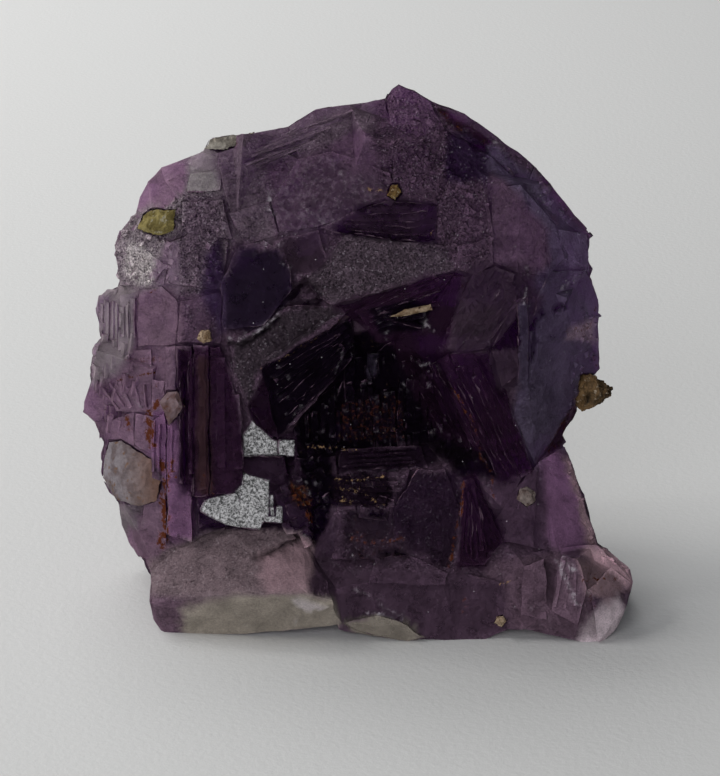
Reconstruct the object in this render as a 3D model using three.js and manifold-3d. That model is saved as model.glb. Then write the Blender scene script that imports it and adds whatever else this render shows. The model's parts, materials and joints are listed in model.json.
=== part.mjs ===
// A hand specimen of intergrown purple fluorite with a few foreign grains lodged in it.
//
// Millimetres, +Z up, front towards -Y. The origin is the middle of the footprint, on the
// surface that the stone stands on. Every crystal of fluorite is grown into its neighbours,
// so the fluorite is one solid. The calcite, the knob and the grains are solids of their own.

import * as THREE from "three";
import { ConvexGeometry } from "three/addons/geometries/ConvexGeometry.js";
import { mergeVertices } from "three/addons/utils/BufferGeometryUtils.js";
import Module from "manifold-3d";

// Driving dimensions.
const WIDTH = 82; // across the front, X
const HEIGHT = 78; // Z
const DEPTH = 48; // front to back, Y
const REST_GAP = 0.3; // clearance round each lodged grain
const SKIN_DEPTH = 9; // thickness of the faceted skin that joins the front faces
const SKIN_SETBACK = 0.3; // how far the skin lies behind the faces that stand on it
const SKIN_DRAW = 0.9; // how far the back of the skin is drawn in towards the middle
const GRID = 0.002; // corners are set to this spacing

// The front is laid out from a standpoint before the stone and a little above it. A front
// corner is [across, up, depth]: across and up are measured on the plane through the middle
// of the stone that faces the standpoint, and depth is the corner's own Y.
const ELEVATION = THREE.MathUtils.degToRad(20);
const STAND_OFF = 450;
const AIM = new THREE.Vector3(0.3, 0, 31.6);
const AIM_UP = 38.1; // the aim point's own "up" value
const DATUM = new THREE.Vector3(0.625, -0.4, 0); // brings the middle of the footprint to the origin

const RIGHT = new THREE.Vector3(1, 0, 0);
const UP = new THREE.Vector3(0, Math.sin(ELEVATION), Math.cos(ELEVATION));
const AHEAD = new THREE.Vector3(0, Math.cos(ELEVATION), -Math.sin(ELEVATION));
const EYE = AIM.clone().addScaledVector(AHEAD, -STAND_OFF);

const wasm = await Module();
wasm.setup();

// ---------------------------------------------------------------- points

function snap(point) {
  const cell = (value) => Math.round(value / GRID) * GRID;
  return new THREE.Vector3(cell(point.x), cell(point.y), cell(point.z));
}

function seen([across, up, depth]) {
  const onPlane = AIM.clone()
    .addScaledVector(RIGHT, across - AIM.x)
    .addScaledVector(UP, up - AIM_UP);
  const reach = (depth - EYE.y) / (onPlane.y - EYE.y);
  return EYE.clone().lerp(onPlane, reach).add(DATUM);
}

function middle(points) {
  const sum = points.reduce((total, point) => total.add(point), new THREE.Vector3());
  return sum.divideScalar(points.length);
}

// ---------------------------------------------------------------- solids

function hullGeometry(points) {
  return new ConvexGeometry(points.map(snap));
}

function toSolid(geometry) {
  const bare = geometry.clone();
  bare.deleteAttribute("normal");
  bare.deleteAttribute("uv");
  const merged = mergeVertices(bare, GRID / 4);
  const mesh = new wasm.Mesh({
    numProp: 3,
    vertProperties: new Float32Array(merged.attributes.position.array),
    triVerts: new Uint32Array(merged.index.array),
  });
  return new wasm.Manifold(mesh);
}

// The outermost skin of a solid. Closed hollows between the crystals are skins of their own
// and are left out, which fills them.
function outerSkin(triangles, positions) {
  const parent = Array.from({ length: positions.length / 3 }, (_, i) => i);
  const find = (i) => {
    let root = i;
    while (parent[root] !== root) {
      parent[root] = parent[parent[root]];
      root = parent[root];
    }
    return root;
  };
  for (let i = 0; i < triangles.length; i += 3) {
    parent[find(triangles[i])] = find(triangles[i + 1]);
    parent[find(triangles[i + 2])] = find(triangles[i + 1]);
  }
  let highest = 0;
  for (let i = 0; i < parent.length; i += 1) {
    if (positions[3 * i + 2] > positions[3 * highest + 2]) {
      highest = i;
    }
  }
  const outer = find(highest);
  const kept = [];
  for (let i = 0; i < triangles.length; i += 3) {
    if (find(triangles[i]) === outer) {
      kept.push(triangles[i], triangles[i + 1], triangles[i + 2]);
    }
  }
  return kept;
}

function toGeometry(solid) {
  const mesh = solid.getMesh();
  const geometry = new THREE.BufferGeometry();
  const positions = new THREE.BufferAttribute(new Float32Array(mesh.vertProperties), 3);
  geometry.setAttribute("position", positions);
  geometry.setIndex(outerSkin(mesh.triVerts, mesh.vertProperties));
  geometry.computeVertexNormals();
  return geometry;
}

function joinAll(solids) {
  let round = solids;
  while (round.length > 1) {
    const next = [];
    for (let i = 0; i < round.length; i += 2) {
      next.push(i + 1 < round.length ? round[i].add(round[i + 1]) : round[i]);
    }
    round = next;
  }
  return round[0];
}

// A crystal face seen from the front, with its body running back from it. The back outline
// lies straight behind the face and is drawn in towards its own middle by the taper.
function faceBlock(outline, thickness, taper = 0.12) {
  const front = outline.map(seen);
  const back = outline.map(([across, up, depth]) => seen([across, up, depth + thickness]));
  const centre = middle(back);
  back.forEach((point) => point.lerp(centre, taper));
  return hullGeometry([...front, ...back]);
}

// A lodged grain: a face block with a blunt crown in front.
function grainBlock(outline, thickness, bulge) {
  const front = outline.map(seen);
  const crown = outline.map(([across, up, depth]) => seen([across, up, depth - bulge]));
  const back = outline.map(([across, up, depth]) => seen([across, up, depth + thickness]));
  const [crownMiddle, backMiddle] = [middle(crown), middle(back)];
  crown.forEach((point) => point.lerp(crownMiddle, 0.45));
  back.forEach((point) => point.lerp(backMiddle, 0.35));
  return hullGeometry([...front, ...crown, ...back]);
}

// A rounded body behind part of the outline.
function backBody({ corners, axis, rings }) {
  const points = rings.flatMap(([share, depth]) => corners.map((i) => {
    const [across, up] = axis.map((value, k) => value + share * (OUTLINE[i][k] - value));
    return seen([across, up, Math.max(depth, OUTLINE[i][2] + 1.5)]);
  }));
  return hullGeometry(points);
}

// A cube crystal turned about its own axes, in degrees.
function cube(centre, size, turn) {
  const [x, y, z] = turn.map(THREE.MathUtils.degToRad);
  const geometry = new THREE.BoxGeometry(...size);
  geometry.rotateX(x);
  geometry.rotateY(y);
  geometry.rotateZ(z);
  geometry.translate(...centre);
  return geometry;
}

// Triangles joining flat points [across, up, ...] so that no point is inside the circle
// through the corners of a triangle.
function joinPoints(points) {
  const far = 1000;
  const count = points.length;
  const all = [...points, [-far, -far], [far, -far], [0, far]];
  let triangles = [circled([count, count + 1, count + 2], all)];
  for (let i = 0; i < count; i += 1) {
    const [px, py] = all[i];
    const hit = triangles.filter(({ cx, cy, rr }) => (px - cx) ** 2 + (py - cy) ** 2 < rr);
    const rim = new Map();
    for (const { corners } of hit) {
      for (let k = 0; k < 3; k += 1) {
        const [a, b] = [corners[k], corners[(k + 1) % 3]];
        if (!rim.delete(`${b},${a}`)) {
          rim.set(`${a},${b}`, [a, b]);
        }
      }
    }
    const fan = [...rim.values()].map(([a, b]) => circled([a, b, i], all));
    triangles = triangles.filter((triangle) => !hit.includes(triangle)).concat(fan);
  }
  return triangles.map(({ corners }) => corners).filter((c) => c.every((i) => i < count));
}

function circled(corners, points) {
  const [[ax, ay], [bx, by], [cx, cy]] = corners.map((i) => points[i]);
  const d = 2 * (ax * (by - cy) + bx * (cy - ay) + cx * (ay - by));
  const [a, b, c] = [ax * ax + ay * ay, bx * bx + by * by, cx * cx + cy * cy];
  const x = (a * (by - cy) + b * (cy - ay) + c * (ay - by)) / d;
  const y = (a * (cx - bx) + b * (ax - cx) + c * (bx - ax)) / d;
  return { corners, cx: x, cy: y, rr: (ax - x) ** 2 + (ay - y) ** 2 };
}

function inside([x, y], outline) {
  let within = false;
  outline.forEach(([ax, ay], i) => {
    const [bx, by] = outline[(i + 1) % outline.length];
    if (ay > y !== by > y && x < ax + ((y - ay) * (bx - ax)) / (by - ay)) {
      within = !within;
    }
  });
  return within;
}

// A closed body with the given triangles in front, the same ones behind, and walls along
// the lines of sight.
function sightPrism(triangles, front, back) {
  const rim = new Map();
  const faces = [];
  const offset = front.length;
  for (const [a, b, c] of triangles) {
    faces.push(a, b, c, offset + a, offset + c, offset + b);
    for (const [from, to] of [[a, b], [b, c], [c, a]]) {
      if (!rim.delete(`${to},${from}`)) {
        rim.set(`${from},${to}`, [from, to]);
      }
    }
  }
  for (const [from, to] of rim.values()) {
    faces.push(to, from, offset + from, to, offset + from, offset + to);
  }
  const points = [...front, ...back].map(snap);
  const geometry = new THREE.BufferGeometry();
  geometry.setAttribute("position", new THREE.Float32BufferAttribute(
    points.flatMap((point) => [point.x, point.y, point.z]), 3));
  geometry.setIndex(faces);
  return geometry;
}

// ---------------------------------------------------------------- the fluorite

// The stone's outline from the standpoint, clockwise from its lower left corner.
const OUTLINE = [
  [-29, 1.1, -18.5], [-31, 3.5, -17], [-31.2, 6, -17], [-31, 10, -14.5], [-31.9, 12.2, -11],
  [-33, 12.8, -6], [-34.5, 15, -3], [-36, 21, -1], [-37.5, 22.5, 0], [-38.7, 25.5, 0.4],
  [-38.2, 30, 1], [-39.5, 33, 2], [-41.3, 34.5, 3], [-41, 36, 3], [-39.8, 38, 3], [-40.2, 40, 3],
  [-39.5, 44.5, 3.5], [-38.3, 46, 3], [-39.3, 50, 4], [-39, 52, 4], [-36, 53.3, 3],
  [-35.2, 55.2, 3], [-36.7, 59.5, 4], [-35.5, 62.2, 4], [-33.2, 64.5, 3.5], [-31.5, 69, 4],
  [-29.5, 71.3, 4.5], [-25.5, 72.2, 4], [-23.3, 73.6, 4], [-22, 75.6, 4.5], [-13, 76.8, 5],
  [-10.5, 77.3, 5], [-6.5, 80, 5.5], [-4.5, 80.3, 5.5], [0, 80.6, 6], [4, 81.6, 6],
  [5, 83.2, 5.5], [6.2, 83.7, 5.5], [8.6, 82.7, 5.5], [11, 81, 5.5], [16, 79.3, 5.5],
  [20, 76.5, 5.5], [24, 73.5, 5.5], [26.5, 71.5, 5.5], [30, 67.3, 5.5], [32, 64.8, 5.5],
  [35, 61, 5], [34.4, 57.2, 4], [35.2, 56, 4], [34.8, 54.8, 3.5], [36.1, 51.3, 3.5],
  [35.3, 46, 3], [36.3, 41, 3], [34, 38, 1.5], [32.5, 34, 0.5], [30.7, 31, -2],
  [31.3, 30, -2.5], [30.8, 29.5, -3], [31.8, 27.5, -4], [33, 23.5, -5.5], [34.3, 20, -7],
  [36, 14.8, -10.5], [40.5, 11.3, -13], [41.3, 9, -15], [40.5, 5.5, -18], [38.3, 1.5, -20],
  [36, -0.5, -22], [34, -0.3, -22], [32.5, 0.8, -21.8], [25, 1.9, -21.4], [22.5, 1.9, -20.6],
  [18.5, 0.2, -21.2], [15, -0.1, -21.4], [10.5, 0.7, -21.6], [7.3, 0, -21.6], [0, 1.7, -21],
  [-2, 2.7, -20.3], [-10, 1.9, -20], [-17, 1.2, -19.6],
];

// Bodies behind the faces. Each takes some corners of the outline and runs back from them in
// rings: [how far the ring is drawn in towards the body's axis, its least depth].
const BACK_BODIES = [
  // left flank
  { corners: [6, 9, 12, 18, 22, 25], axis: [-6, 42],
    rings: [[0.98, 5], [0.88, 11], [0.5, 17]] },
  // top
  { corners: [22, 25, 28, 32, 36, 39, 42, 46], axis: [0, 44],
    rings: [[0.98, 7], [0.9, 12], [0.5, 17]] },
  // right flank
  { corners: [41, 44, 46, 50, 52, 55], axis: [2, 44],
    rings: [[0.98, 6], [0.84, 12.5], [0.4, 18]] },
  // middle
  { corners: [8, 12, 19, 46, 52, 55], axis: [0, 38],
    rings: [[0.8, 8], [0.45, 18]] },
  // root
  { corners: [0, 3, 6, 9, 57, 60, 62, 64, 66], axis: [0, 26],
    rings: [[0.97, -14], [0.9, 2], [0.7, 12], [0.3, 18]] },
];

// Shelf, strip and foot along the lower front.
const LOWER_FRONT = [
  // shelf with the frosted top
  [[[-29, 1.2, -18.5], [-17, 1.2, -19.8], [-10, 1.9, -20.2], [-3, 2.6, -20], [-31, 5.8, -19.5],
    [-20, 7.2, -22.6], [-7.5, 7.3, -23.4], [-3.8, 6.2, -22.5], [-31.2, 10.5, -15],
    [-27, 13.8, -12.6], [-24.5, 15.2, -11.6], [-20, 17.3, -10.8], [-14.5, 17.2, -11.2],
    [-8.5, 15.5, -12.8], [-6.4, 13, -14.6]], 14],
  // low step on the shelf
  [[[-22, 13.9, -13.4], [-15, 12.5, -16.8], [-9.2, 15.6, -13.6], [-11, 17.9, -11.8],
    [-20, 17.7, -11.2]], 5],
  // dark strip at the foot of the middle
  [[[-3, 1.8, -20.4], [0, 1.4, -20.8], [7.3, 0.1, -21.2], [15, -0.1, -21.4], [18.5, 0.2, -21.2],
    [22.5, 1.9, -20.4], [22, 9, -18.2], [15, 10.4, -17.8], [5, 10.4, -18.4], [-3.5, 8, -19.4]], 14],
  // clear lens under it
  [[[-1.9, 2.8, -21.6], [3, 4.1, -21.4], [7.5, 2.3, -22.2], [9.5, 0.8, -22.2], [7.5, 0.1, -21.9],
    [0, 1.7, -21.5]], 4],
  // foot
  [[[21, 3, -20.6], [25, 1.9, -21.4], [32.5, 0.8, -21.8], [36, -0.5, -22.2], [38.3, 1.5, -20],
    [40.4, 5.5, -18], [41.2, 9, -15.5], [36, 14.7, -12.6], [30, 13.6, -14], [24, 13.4, -15.4],
    [20.6, 9.5, -17.6]], 16],
  [[[29, 4.5, -22], [30.5, 13.2, -16.8], [33, 12.6, -17.8], [34.4, 8, -21], [33, 2.6, -22.8]], 6],
  [[[34.6, 8, -21.4], [36, 0, -22.9], [38.2, 1.6, -20.7], [40.3, 5.6, -18.8], [41, 9, -16.3],
    [38, 11.3, -16.8]], 6],
  [[[24.5, 4, -22], [24.8, 11.5, -17.6], [28.2, 12.6, -17], [28.4, 3.2, -22.4]], 6],
];

// Blocks above the strip, right of the shelf.
const LOWER_MIDDLE = [
  // frosted block
  [[[5, 13, -18.2], [5.4, 20, -15.6], [9, 25.8, -13], [13, 26, -12.6], [15.2, 20, -14.4],
    [15.4, 12, -17.2], [12, 10.8, -18.6], [7, 11, -18.8]], 10],
  // flat beside it
  [[[-4, 12.5, -17.6], [-2.6, 20, -14.6], [5.5, 20.6, -14.6], [6.6, 15, -16.8], [4, 12.2, -18]], 8],
  [[[0, 18.5, -16.2], [1, 21.3, -15], [5, 21.4, -14.9], [4.4, 18.1, -16.4]], 4],
  // level plates
  [[[-3, 25, -12.2], [-2.6, 28.8, -10.6], [9.4, 29.2, -10.4], [10.6, 26, -12]], 8],
  [[[-1.4, 22.6, -13.4], [-0.4, 25.6, -12.6], [8, 26.2, -12.4], [7, 22.6, -13.8]], 6],
  [[[-6.8, 20.6, -13.4], [-6, 27.6, -10.8], [-3.2, 27.9, -10.8], [-3.4, 20.8, -13.6]], 6],
  // dark ribbed wedge
  [[[15.7, 24.4, -13], [15, 11.4, -17.2], [19, 11.5, -17.7], [22, 15, -15.6], [17.4, 24.6, -12.8]],
    10],
  // dark hexagon face under the block
  [[[1.5, 8.8, -19.6], [2.6, 12.6, -18.6], [8, 13, -18.6], [13.6, 10.4, -19], [13, 8.6, -19.6]], 4],
];

// Flights of small cube steps left of the middle.
const LEFT_STEPS = [
  [[[-17.2, 31, -10.6], [-15.8, 33.1, -10], [-13, 30.3, -10.6], [-12, 30, -10.6],
    [-12, 28.2, -11.2], [-17.3, 28, -11.2]], 6],
  [[[-11.8, 28, -11.2], [-11.8, 30.3, -10.6], [-9.6, 30.2, -10.6], [-9.6, 28, -11.2]], 5],
  [[[-17.2, 25.4, -12.4], [-13.3, 24.2, -12.8], [-13.5, 19.5, -14], [-14.7, 16.8, -15],
    [-18, 18, -14.4], [-17.5, 22, -13.2]], 6],
  [[[-18, 18, -14.2], [-14.7, 16.8, -14.8], [-20, 17.6, -14.2], [-23.5, 19.6, -13.2],
    [-23, 21.3, -12.6], [-18.3, 22.3, -12.8]], 6],
  [[[-14, 20.4, -14.2], [-11.5, 20.2, -14.2], [-11.4, 17.8, -15], [-14.1, 18, -15]], 5],
  [[[-17.5, 28, -11.6], [-11, 27.8, -11.8], [-10.5, 23.4, -13], [-13, 23.9, -12.8],
    [-17.3, 25.6, -12.2]], 6],
  [[[-12.5, 22.4, -13.2], [-9, 22.3, -13.3], [-7.2, 19.6, -14], [-7, 14.8, -15.6],
    [-11.4, 17.6, -14.6]], 6],
  [[[-9.8, 23.4, -12.8], [-9.4, 27.8, -11.4], [-6.4, 27.6, -11.4], [-6.2, 21.4, -13.2]], 5],
  [[[-24, 16.8, -12.2], [-24.2, 22, -11.4], [-20, 22.2, -12.4], [-19, 19, -13.4]], 5],
];

// Upright prisms and blades of the left flank.
const LEFT_PRISMS = [
  [[[-27.3, 44.3, -7.4], [-24.9, 44.4, -8.4], [-24.8, 22, -13], [-27, 23, -11.4]], 9],
  [[[-24.7, 44.6, -9], [-22.4, 44.5, -9.4], [-22.3, 21.8, -14], [-24.7, 21.8, -13.4]], 10],
  [[[-22.2, 44.3, -8.8], [-20.8, 44.3, -8.8], [-17.4, 35, -10.8], [-17.3, 23, -13.2],
    [-19.5, 22, -13.8], [-22.2, 22, -13.5]], 9],
  [[[-28.8, 34.6, -8.2], [-31, 33, -7.2], [-31, 24.6, -9], [-28.8, 23.6, -10]], 8],
  [[[-26.9, 33.4, -9], [-28.7, 34, -8.4], [-28.7, 23.4, -10.6], [-26.9, 22.8, -11.4]], 8],
  [[[-25, 23.4, -12.4], [-28.4, 24, -10.8], [-28.6, 16, -12], [-25, 15, -13.4]], 8],
  [[[-28.7, 24.4, -8.8], [-31, 24.8, -7.4], [-33.2, 14.6, -6.4], [-28.8, 13.6, -9.4]], 8],
  [[[-31, 20.4, -5.6], [-36, 20.8, -2.2], [-35.4, 17.6, -2], [-34.2, 14.6, -2.6],
    [-32.8, 12.8, -3.4], [-30.4, 14, -6]], 9],
  [[[-30.6, 33.6, -5.4], [-33.4, 34.4, -4], [-33.6, 29.6, -4.6], [-30.6, 28, -6.2]], 8],
  [[[-33.5, 34.6, -3], [-37.8, 33, -0.4], [-37.8, 30.2, -0.6], [-33.6, 29.4, -3.8]], 8],
  [[[-28.9, 44.4, -5.8], [-27.3, 44.4, -6.4], [-27.2, 34.4, -8], [-28.9, 35, -7.4]], 8],
  [[[-30.9, 39.4, -4.8], [-29, 39.2, -5.6], [-29, 33.6, -6.6], [-31, 34, -5.8]], 8],
  [[[-31, 39.3, -4.2], [-36, 40, -1.6], [-37, 37, -1.4], [-36.4, 34.6, -1.8], [-31, 34.4, -4.8]],
    9],
  [[[-36.2, 40.6, 0.4], [-39.6, 40, 2.2], [-39.8, 38, 2], [-41.1, 36, 2], [-41.2, 34.6, 2],
    [-39.4, 33, 1.6], [-36.4, 33.6, -0.2]], 10],
];

// Plates at the upper left edge.
const LEFT_PLATES = [
  [[[-36.2, 45, 1.6], [-36.2, 52.9, 2], [-37.6, 52.9, 2.6], [-39, 51.6, 3], [-39.3, 50, 3],
    [-38.3, 46, 2.6]], 7],
  [[[-36.9, 41, 1], [-36.8, 46, 1.4], [-38.4, 45.8, 2.4], [-39.5, 44.4, 2.8], [-39.6, 41.6, 2.6]],
    7],
  [[[-33.2, 44.4, -2.6], [-33.4, 52.4, -1.6], [-35.8, 52, -0.6], [-36, 43.6, -1.4]], 7],
  [[[-27.2, 44.6, -5.4], [-27, 51, -5], [-29.4, 53.4, -3.6], [-33, 52.8, -2.4], [-33, 44.4, -3.8]],
    8],
  [[[-31, 39.6, -4.4], [-31, 44, -4], [-36.8, 43.4, -1], [-36.8, 40.4, -1.2]], 7],
  [[[-20.6, 44.8, -7.2], [-20.4, 52.6, -6.2], [-26.8, 51, -5.2], [-27, 44.8, -6.6]], 8],
];

// Rough crystals of the upper left.
const UPPER_LEFT = [
  [[[-36.6, 59.3, 1.6], [-35.4, 55.2, 1.2], [-35.6, 53.4, 0.8], [-29, 53.6, -3.4],
    [-28, 59.4, -3], [-33, 62, 0], [-35.6, 62, 1.4]], 10],
  [[[-28.6, 53.8, -4.6], [-20.4, 52.8, -6.6], [-19.4, 60, -5.6], [-24, 62, -3.8],
    [-28.4, 60, -3.8]], 10],
  [[[-33.2, 64.4, 1.6], [-32.6, 66.8, 2], [-31.5, 68.8, 2.4], [-27.4, 69.6, 1.4],
    [-26.4, 65.4, -0.6], [-30, 63, -0.4]], 9],
  [[[-29.6, 71.2, 3], [-25.6, 72.1, 3], [-23.4, 73.5, 3], [-20.6, 72.6, 1.6], [-20.4, 66, -1.6],
    [-26, 65.6, -0.6], [-29, 69, 1.4]], 9],
  [[[-26.6, 61.6, -3.6], [-26.4, 66, -1.8], [-20.2, 66.4, -2.4], [-18.8, 60.4, -5.2],
    [-23, 60.6, -4.4]], 9],
  [[[-25.6, 67.4, -1.2], [-25.2, 70.2, 0.2], [-20.6, 70.6, 0], [-20.4, 67.6, -1.6]], 5],
  [[[-34, 55.2, -1], [-31.8, 58.9, -1.2], [-28.6, 56.4, -3.8], [-29.8, 54.8, -3.6]], 5],
];

// The dome at the top and the faces under it.
const DOME = [
  [[[-20.4, 70, -0.8], [-22, 75.4, 3], [-17, 76, 3], [-13, 76.7, 3], [-10.5, 77.2, 3.2],
    [-9, 71, -1], [-13, 66, -3.4], [-19, 64, -4]], 12],
  [[[-10.4, 77.3, 3], [-6.5, 79.8, 4], [-0.2, 80.5, 4.6], [4, 81.4, 4.8], [5.4, 76, 1.6],
    [5, 71.6, -0.4], [-4, 73.4, -0.6], [-8.8, 72.4, -0.8]], 11],
  [[[-13, 66, -4.2], [-9, 72.6, -1.2], [-4, 73.6, -1.2], [-0.4, 72.6, -1.6], [5, 70.4, -1.8],
    [5.4, 66.4, -3.8], [0, 65, -5], [-6, 62.2, -6], [-12, 61.4, -5.8]], 12],
  [[[-19.4, 64.4, -4.4], [-13.2, 66.2, -4.4], [-12, 61, -6], [-17, 59.6, -6]], 8],
  // bands under the dome
  [[[-6, 62, -6.4], [0, 65, -5.8], [5, 66.3, -5.2], [12, 65.4, -4.6], [11.6, 60.4, -6],
    [5, 60, -6.6], [-2, 61.2, -6.6]], 7],
  // frosted slope
  [[[-6, 52, -9.4], [-8, 54, -8.8], [-4.6, 57.4, -7.8], [-2, 61.4, -6.8], [5, 60.2, -7],
    [14.8, 59.4, -6.2], [15, 56, -7.2], [10.5, 55, -7.8], [5, 53, -8.8], [0, 51.5, -9.4],
    [-4, 50.4, -9.8]], 9],
  [[[-11, 54, -8.6], [-13, 60.2, -6.4], [-6, 61.8, -6.6], [-4.4, 57.4, -8], [-8, 54.2, -9]], 8],
];

// The smooth lobe and the dark faces that lead down into the V.
const DARK_FACES = [
  [[[-20.2, 46.6, -9.4], [-14, 47.6, -11], [-10, 53, -10], [-10.6, 58, -7.6], [-14, 60.4, -6.2],
    [-18, 59.4, -6], [-20.6, 54, -7.4]], 9],
  [[[-19.2, 44.4, -9.2], [-16, 46.6, -9.6], [-11, 50.4, -9.4], [-4, 50.6, -8.6], [-1, 50, -8.2],
    [-9.6, 43.8, -9.2], [-14, 41, -10.2], [-16.4, 35.4, -11.2], [-18.8, 40, -10]], 8],
  [[[-14.4, 41.2, -10.6], [-7.6, 45, -9.9], [-1, 48.6, -9.2], [-0.2, 43.2, -7.2],
    [-9.8, 33.2, -9.2], [-12, 30.4, -10.4]], 7],
  [[[-16.2, 35, -11], [-14.2, 40.8, -10.6], [-12, 30.8, -10.8], [-13.2, 30.6, -11]], 6],
];

// Steps in the depth of the V.
const V_STEPS = [
  [[[-12, 30, -9.6], [-9.8, 33.4, -8.4], [-3.4, 38.6, -7.2], [-3.4, 29, -9.6], [-9.4, 28, -10.4]],
    6],
  [[[-3.4, 29, -8.8], [-3.4, 36.4, -6.8], [-0.4, 42.8, -5.4], [2.6, 42.8, -5.4],
    [2.6, 29.2, -8.8]], 6],
  [[[2.7, 29.2, -9.2], [2.7, 43.6, -6], [5.6, 45.4, -5.4], [6, 29.4, -9.4]], 6],
  [[[6.1, 29.4, -9.8], [6, 42, -6.8], [10.4, 42.4, -6.8], [10.6, 29.4, -9.8]], 6],
  [[[1.3, 40, -7], [1.3, 43.4, -6.2], [3, 43.4, -6.2], [3, 40, -7]], 4],
  [[[-2, 36, -7.8], [-2, 42, -6.4], [-0.5, 43, -6.2], [-0.4, 36, -7.8]], 4],
  [[[10.6, 29.4, -10.2], [10.4, 40.6, -7.4], [12.6, 40.4, -7.8], [17, 29, -10.8],
    [13, 26.2, -12]], 6],
];

// The fan of blades right of the V.
const FAN = [
  [[[-0.6, 49.6, -8.6], [4.4, 52.4, -8.4], [11, 54.6, -7.6], [14.6, 55.4, -7.2], [9.8, 49.6, -6.6],
    [2, 46.6, -6.4]], 6],
  [[[9.6, 46.4, -6.4], [10.4, 49.6, -6.2], [14.4, 55, -6.8], [16.6, 54.8, -6.6], [14, 47, -6.6],
    [11.6, 45, -6.8]], 6],
  [[[12.4, 44.6, -7.4], [17, 55, -7], [20.6, 56.4, -6.4], [23.6, 55.2, -6.2], [19.8, 44.4, -8.2],
    [14.4, 42.8, -8.4]], 7],
  [[[11, 41.8, -7.8], [13.4, 43.2, -8.2], [19.6, 33.6, -10.2], [24.4, 24.6, -11.6],
    [21, 24, -12], [17, 29.6, -11]], 8],
  [[[13.6, 43.2, -8.8], [19.8, 43.8, -8.6], [23.4, 34, -10.2], [26.2, 26, -10.8],
    [24.6, 24.4, -11.6], [19.8, 33.6, -10.6]], 8],
  [[[20, 44, -8.8], [23.8, 52, -7.2], [24, 40, -9.4], [21.6, 38.4, -9.8]], 7],
  [[[24, 38.4, -10], [23.9, 51.6, -7.8], [25.4, 52, -7.4], [25.6, 38.4, -9.6]], 7],
];

// The broad blue-grey face and the edge of the right flank.
const RIGHT_FLANK = [
  [[[26.8, 51.6, -6], [28.6, 55.6, -3.6], [34.2, 55.8, 0.8], [36, 51.4, 2.2], [35.3, 46, 2.2],
    [36, 41, 2.4], [32.6, 34.2, -0.8], [30.6, 31, -3], [26.6, 26.4, -8.6], [23.4, 34, -9.8],
    [25.6, 38.4, -9], [27, 43, -7.6]], 12],
  [[[20.4, 57, -5.6], [20, 68, -2], [24.4, 68.6, -1.2], [29.6, 62.6, -0.6], [31, 57.6, -1.4],
    [28.6, 55, -3.8], [24, 55.4, -5.4]], 9],
  [[[28.8, 55.8, -3], [30, 62, -0.4], [34.4, 61.2, 3], [34.4, 57.4, 2.4], [34.8, 55.4, 1.6]], 9],
  // rim
  [[[11.6, 80.6, 3], [16, 79.2, 3.4], [20, 76.4, 3.8], [24, 73.4, 4], [26.4, 71.4, 4.2],
    [25, 68.2, 2], [20, 73, 1.8], [13, 77, 1.8]], 6],
  [[[25, 68.2, 1.8], [26.5, 71.4, 4], [30, 67.2, 4.2], [32, 64.7, 4.2], [34.6, 61.6, 4.2],
    [33.8, 58.6, 2.8], [29.6, 63.4, 1.4]], 7],
  // band below the rim
  [[[13, 76.6, 1.2], [20, 72.8, 1], [25, 68.2, 1], [24, 66, -1.2], [19, 68.6, -1.8],
    [13.6, 70, -1.6]], 9],
];

// The sparkling band of small cubes that runs down from the peak.
const DRUSE_BAND = [
  [[[4.2, 81.5, 4], [5, 83.1, 4.2], [6.2, 83.7, 4.2], [8.6, 82.6, 4], [11, 81, 3.6],
    [13.2, 77, 1.6], [10, 73.8, -0.6], [5.2, 75.6, 0.6]], 8],
  [[[5.2, 75.4, -0.2], [13.2, 76.6, 1], [14.4, 69.6, -2.2], [12, 65.4, -4.6], [5.2, 68.6, -3]],
    10],
  [[[12, 65.6, -5], [14, 70.2, -2.8], [19.4, 68.4, -2.6], [20.4, 60, -5.2], [15, 57.4, -6.8],
    [11.8, 61, -6]], 10],
  [[[14.8, 59.4, -7], [20, 60.6, -5.8], [20.4, 56.6, -6.4], [17.4, 55, -7.4], [15, 56, -7.6]], 7],
];

// Lower right, between the foot and the broad face.
const LOWER_RIGHT = [
  [[[27, 27, -9.4], [31, 29.4, -5.6], [32, 27, -5.6], [34.2, 20, -7.4], [36, 14.8, -10.4],
    [30, 13.4, -14.4], [25.6, 14.4, -14.6]], 12],
  [[[22.2, 20, -13.2], [25.2, 25, -11.2], [27, 26.8, -9.8], [26.4, 14.4, -14.8], [22, 15, -15.6],
    [20, 17.6, -14.4]], 9],
  [[[17.6, 24.6, -12.6], [17, 29.4, -10.8], [24.6, 24.6, -11.4], [22, 19.6, -13.4]], 8],
];

// Cube corners and cleavage steps of the back and the sides.
const BACK_CUBES = [
  [[-22, 6.5, 47], [16, 16, 19], [12, 22, 34]],
  [[-19, 10.5, 25], [21, 14, 19], [-14, 10, 16]],
  [[-3, 9.5, 58], [18, 13, 17], [14, -10, 34]],
  [[-1, 13, 36], [22, 14, 21], [8, 10, -12]],
  [[15, 8.5, 52], [16, 15, 18], [-14, 14, 26]],
  [[19, 8, 33], [19, 17, 17], [10, -10, 20]],
  [[7, 10, 14], [25, 18, 20], [-4, 6, 8]],
  [[-21, 6, 9], [18, 16, 15], [4, 6, -18]],
  [[26, 0, 12], [14, 16, 17], [-10, 14, 22]],
  [[-32, 4, 31], [10, 12, 16], [14, 10, -24]],
  [[-31, 5, 18], [9, 12, 12], [8, -14, 30]],
  [[27.5, 5, 43], [10, 13, 15], [12, 18, -18]],
  [[6, 5, 67], [15, 11, 11], [20, 8, 18]],
  [[-13, 5, 63], [14, 10, 11], [-16, 14, 28]],
  [[20, 4, 60], [12, 11, 10], [10, 16, 32]],
];

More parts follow.
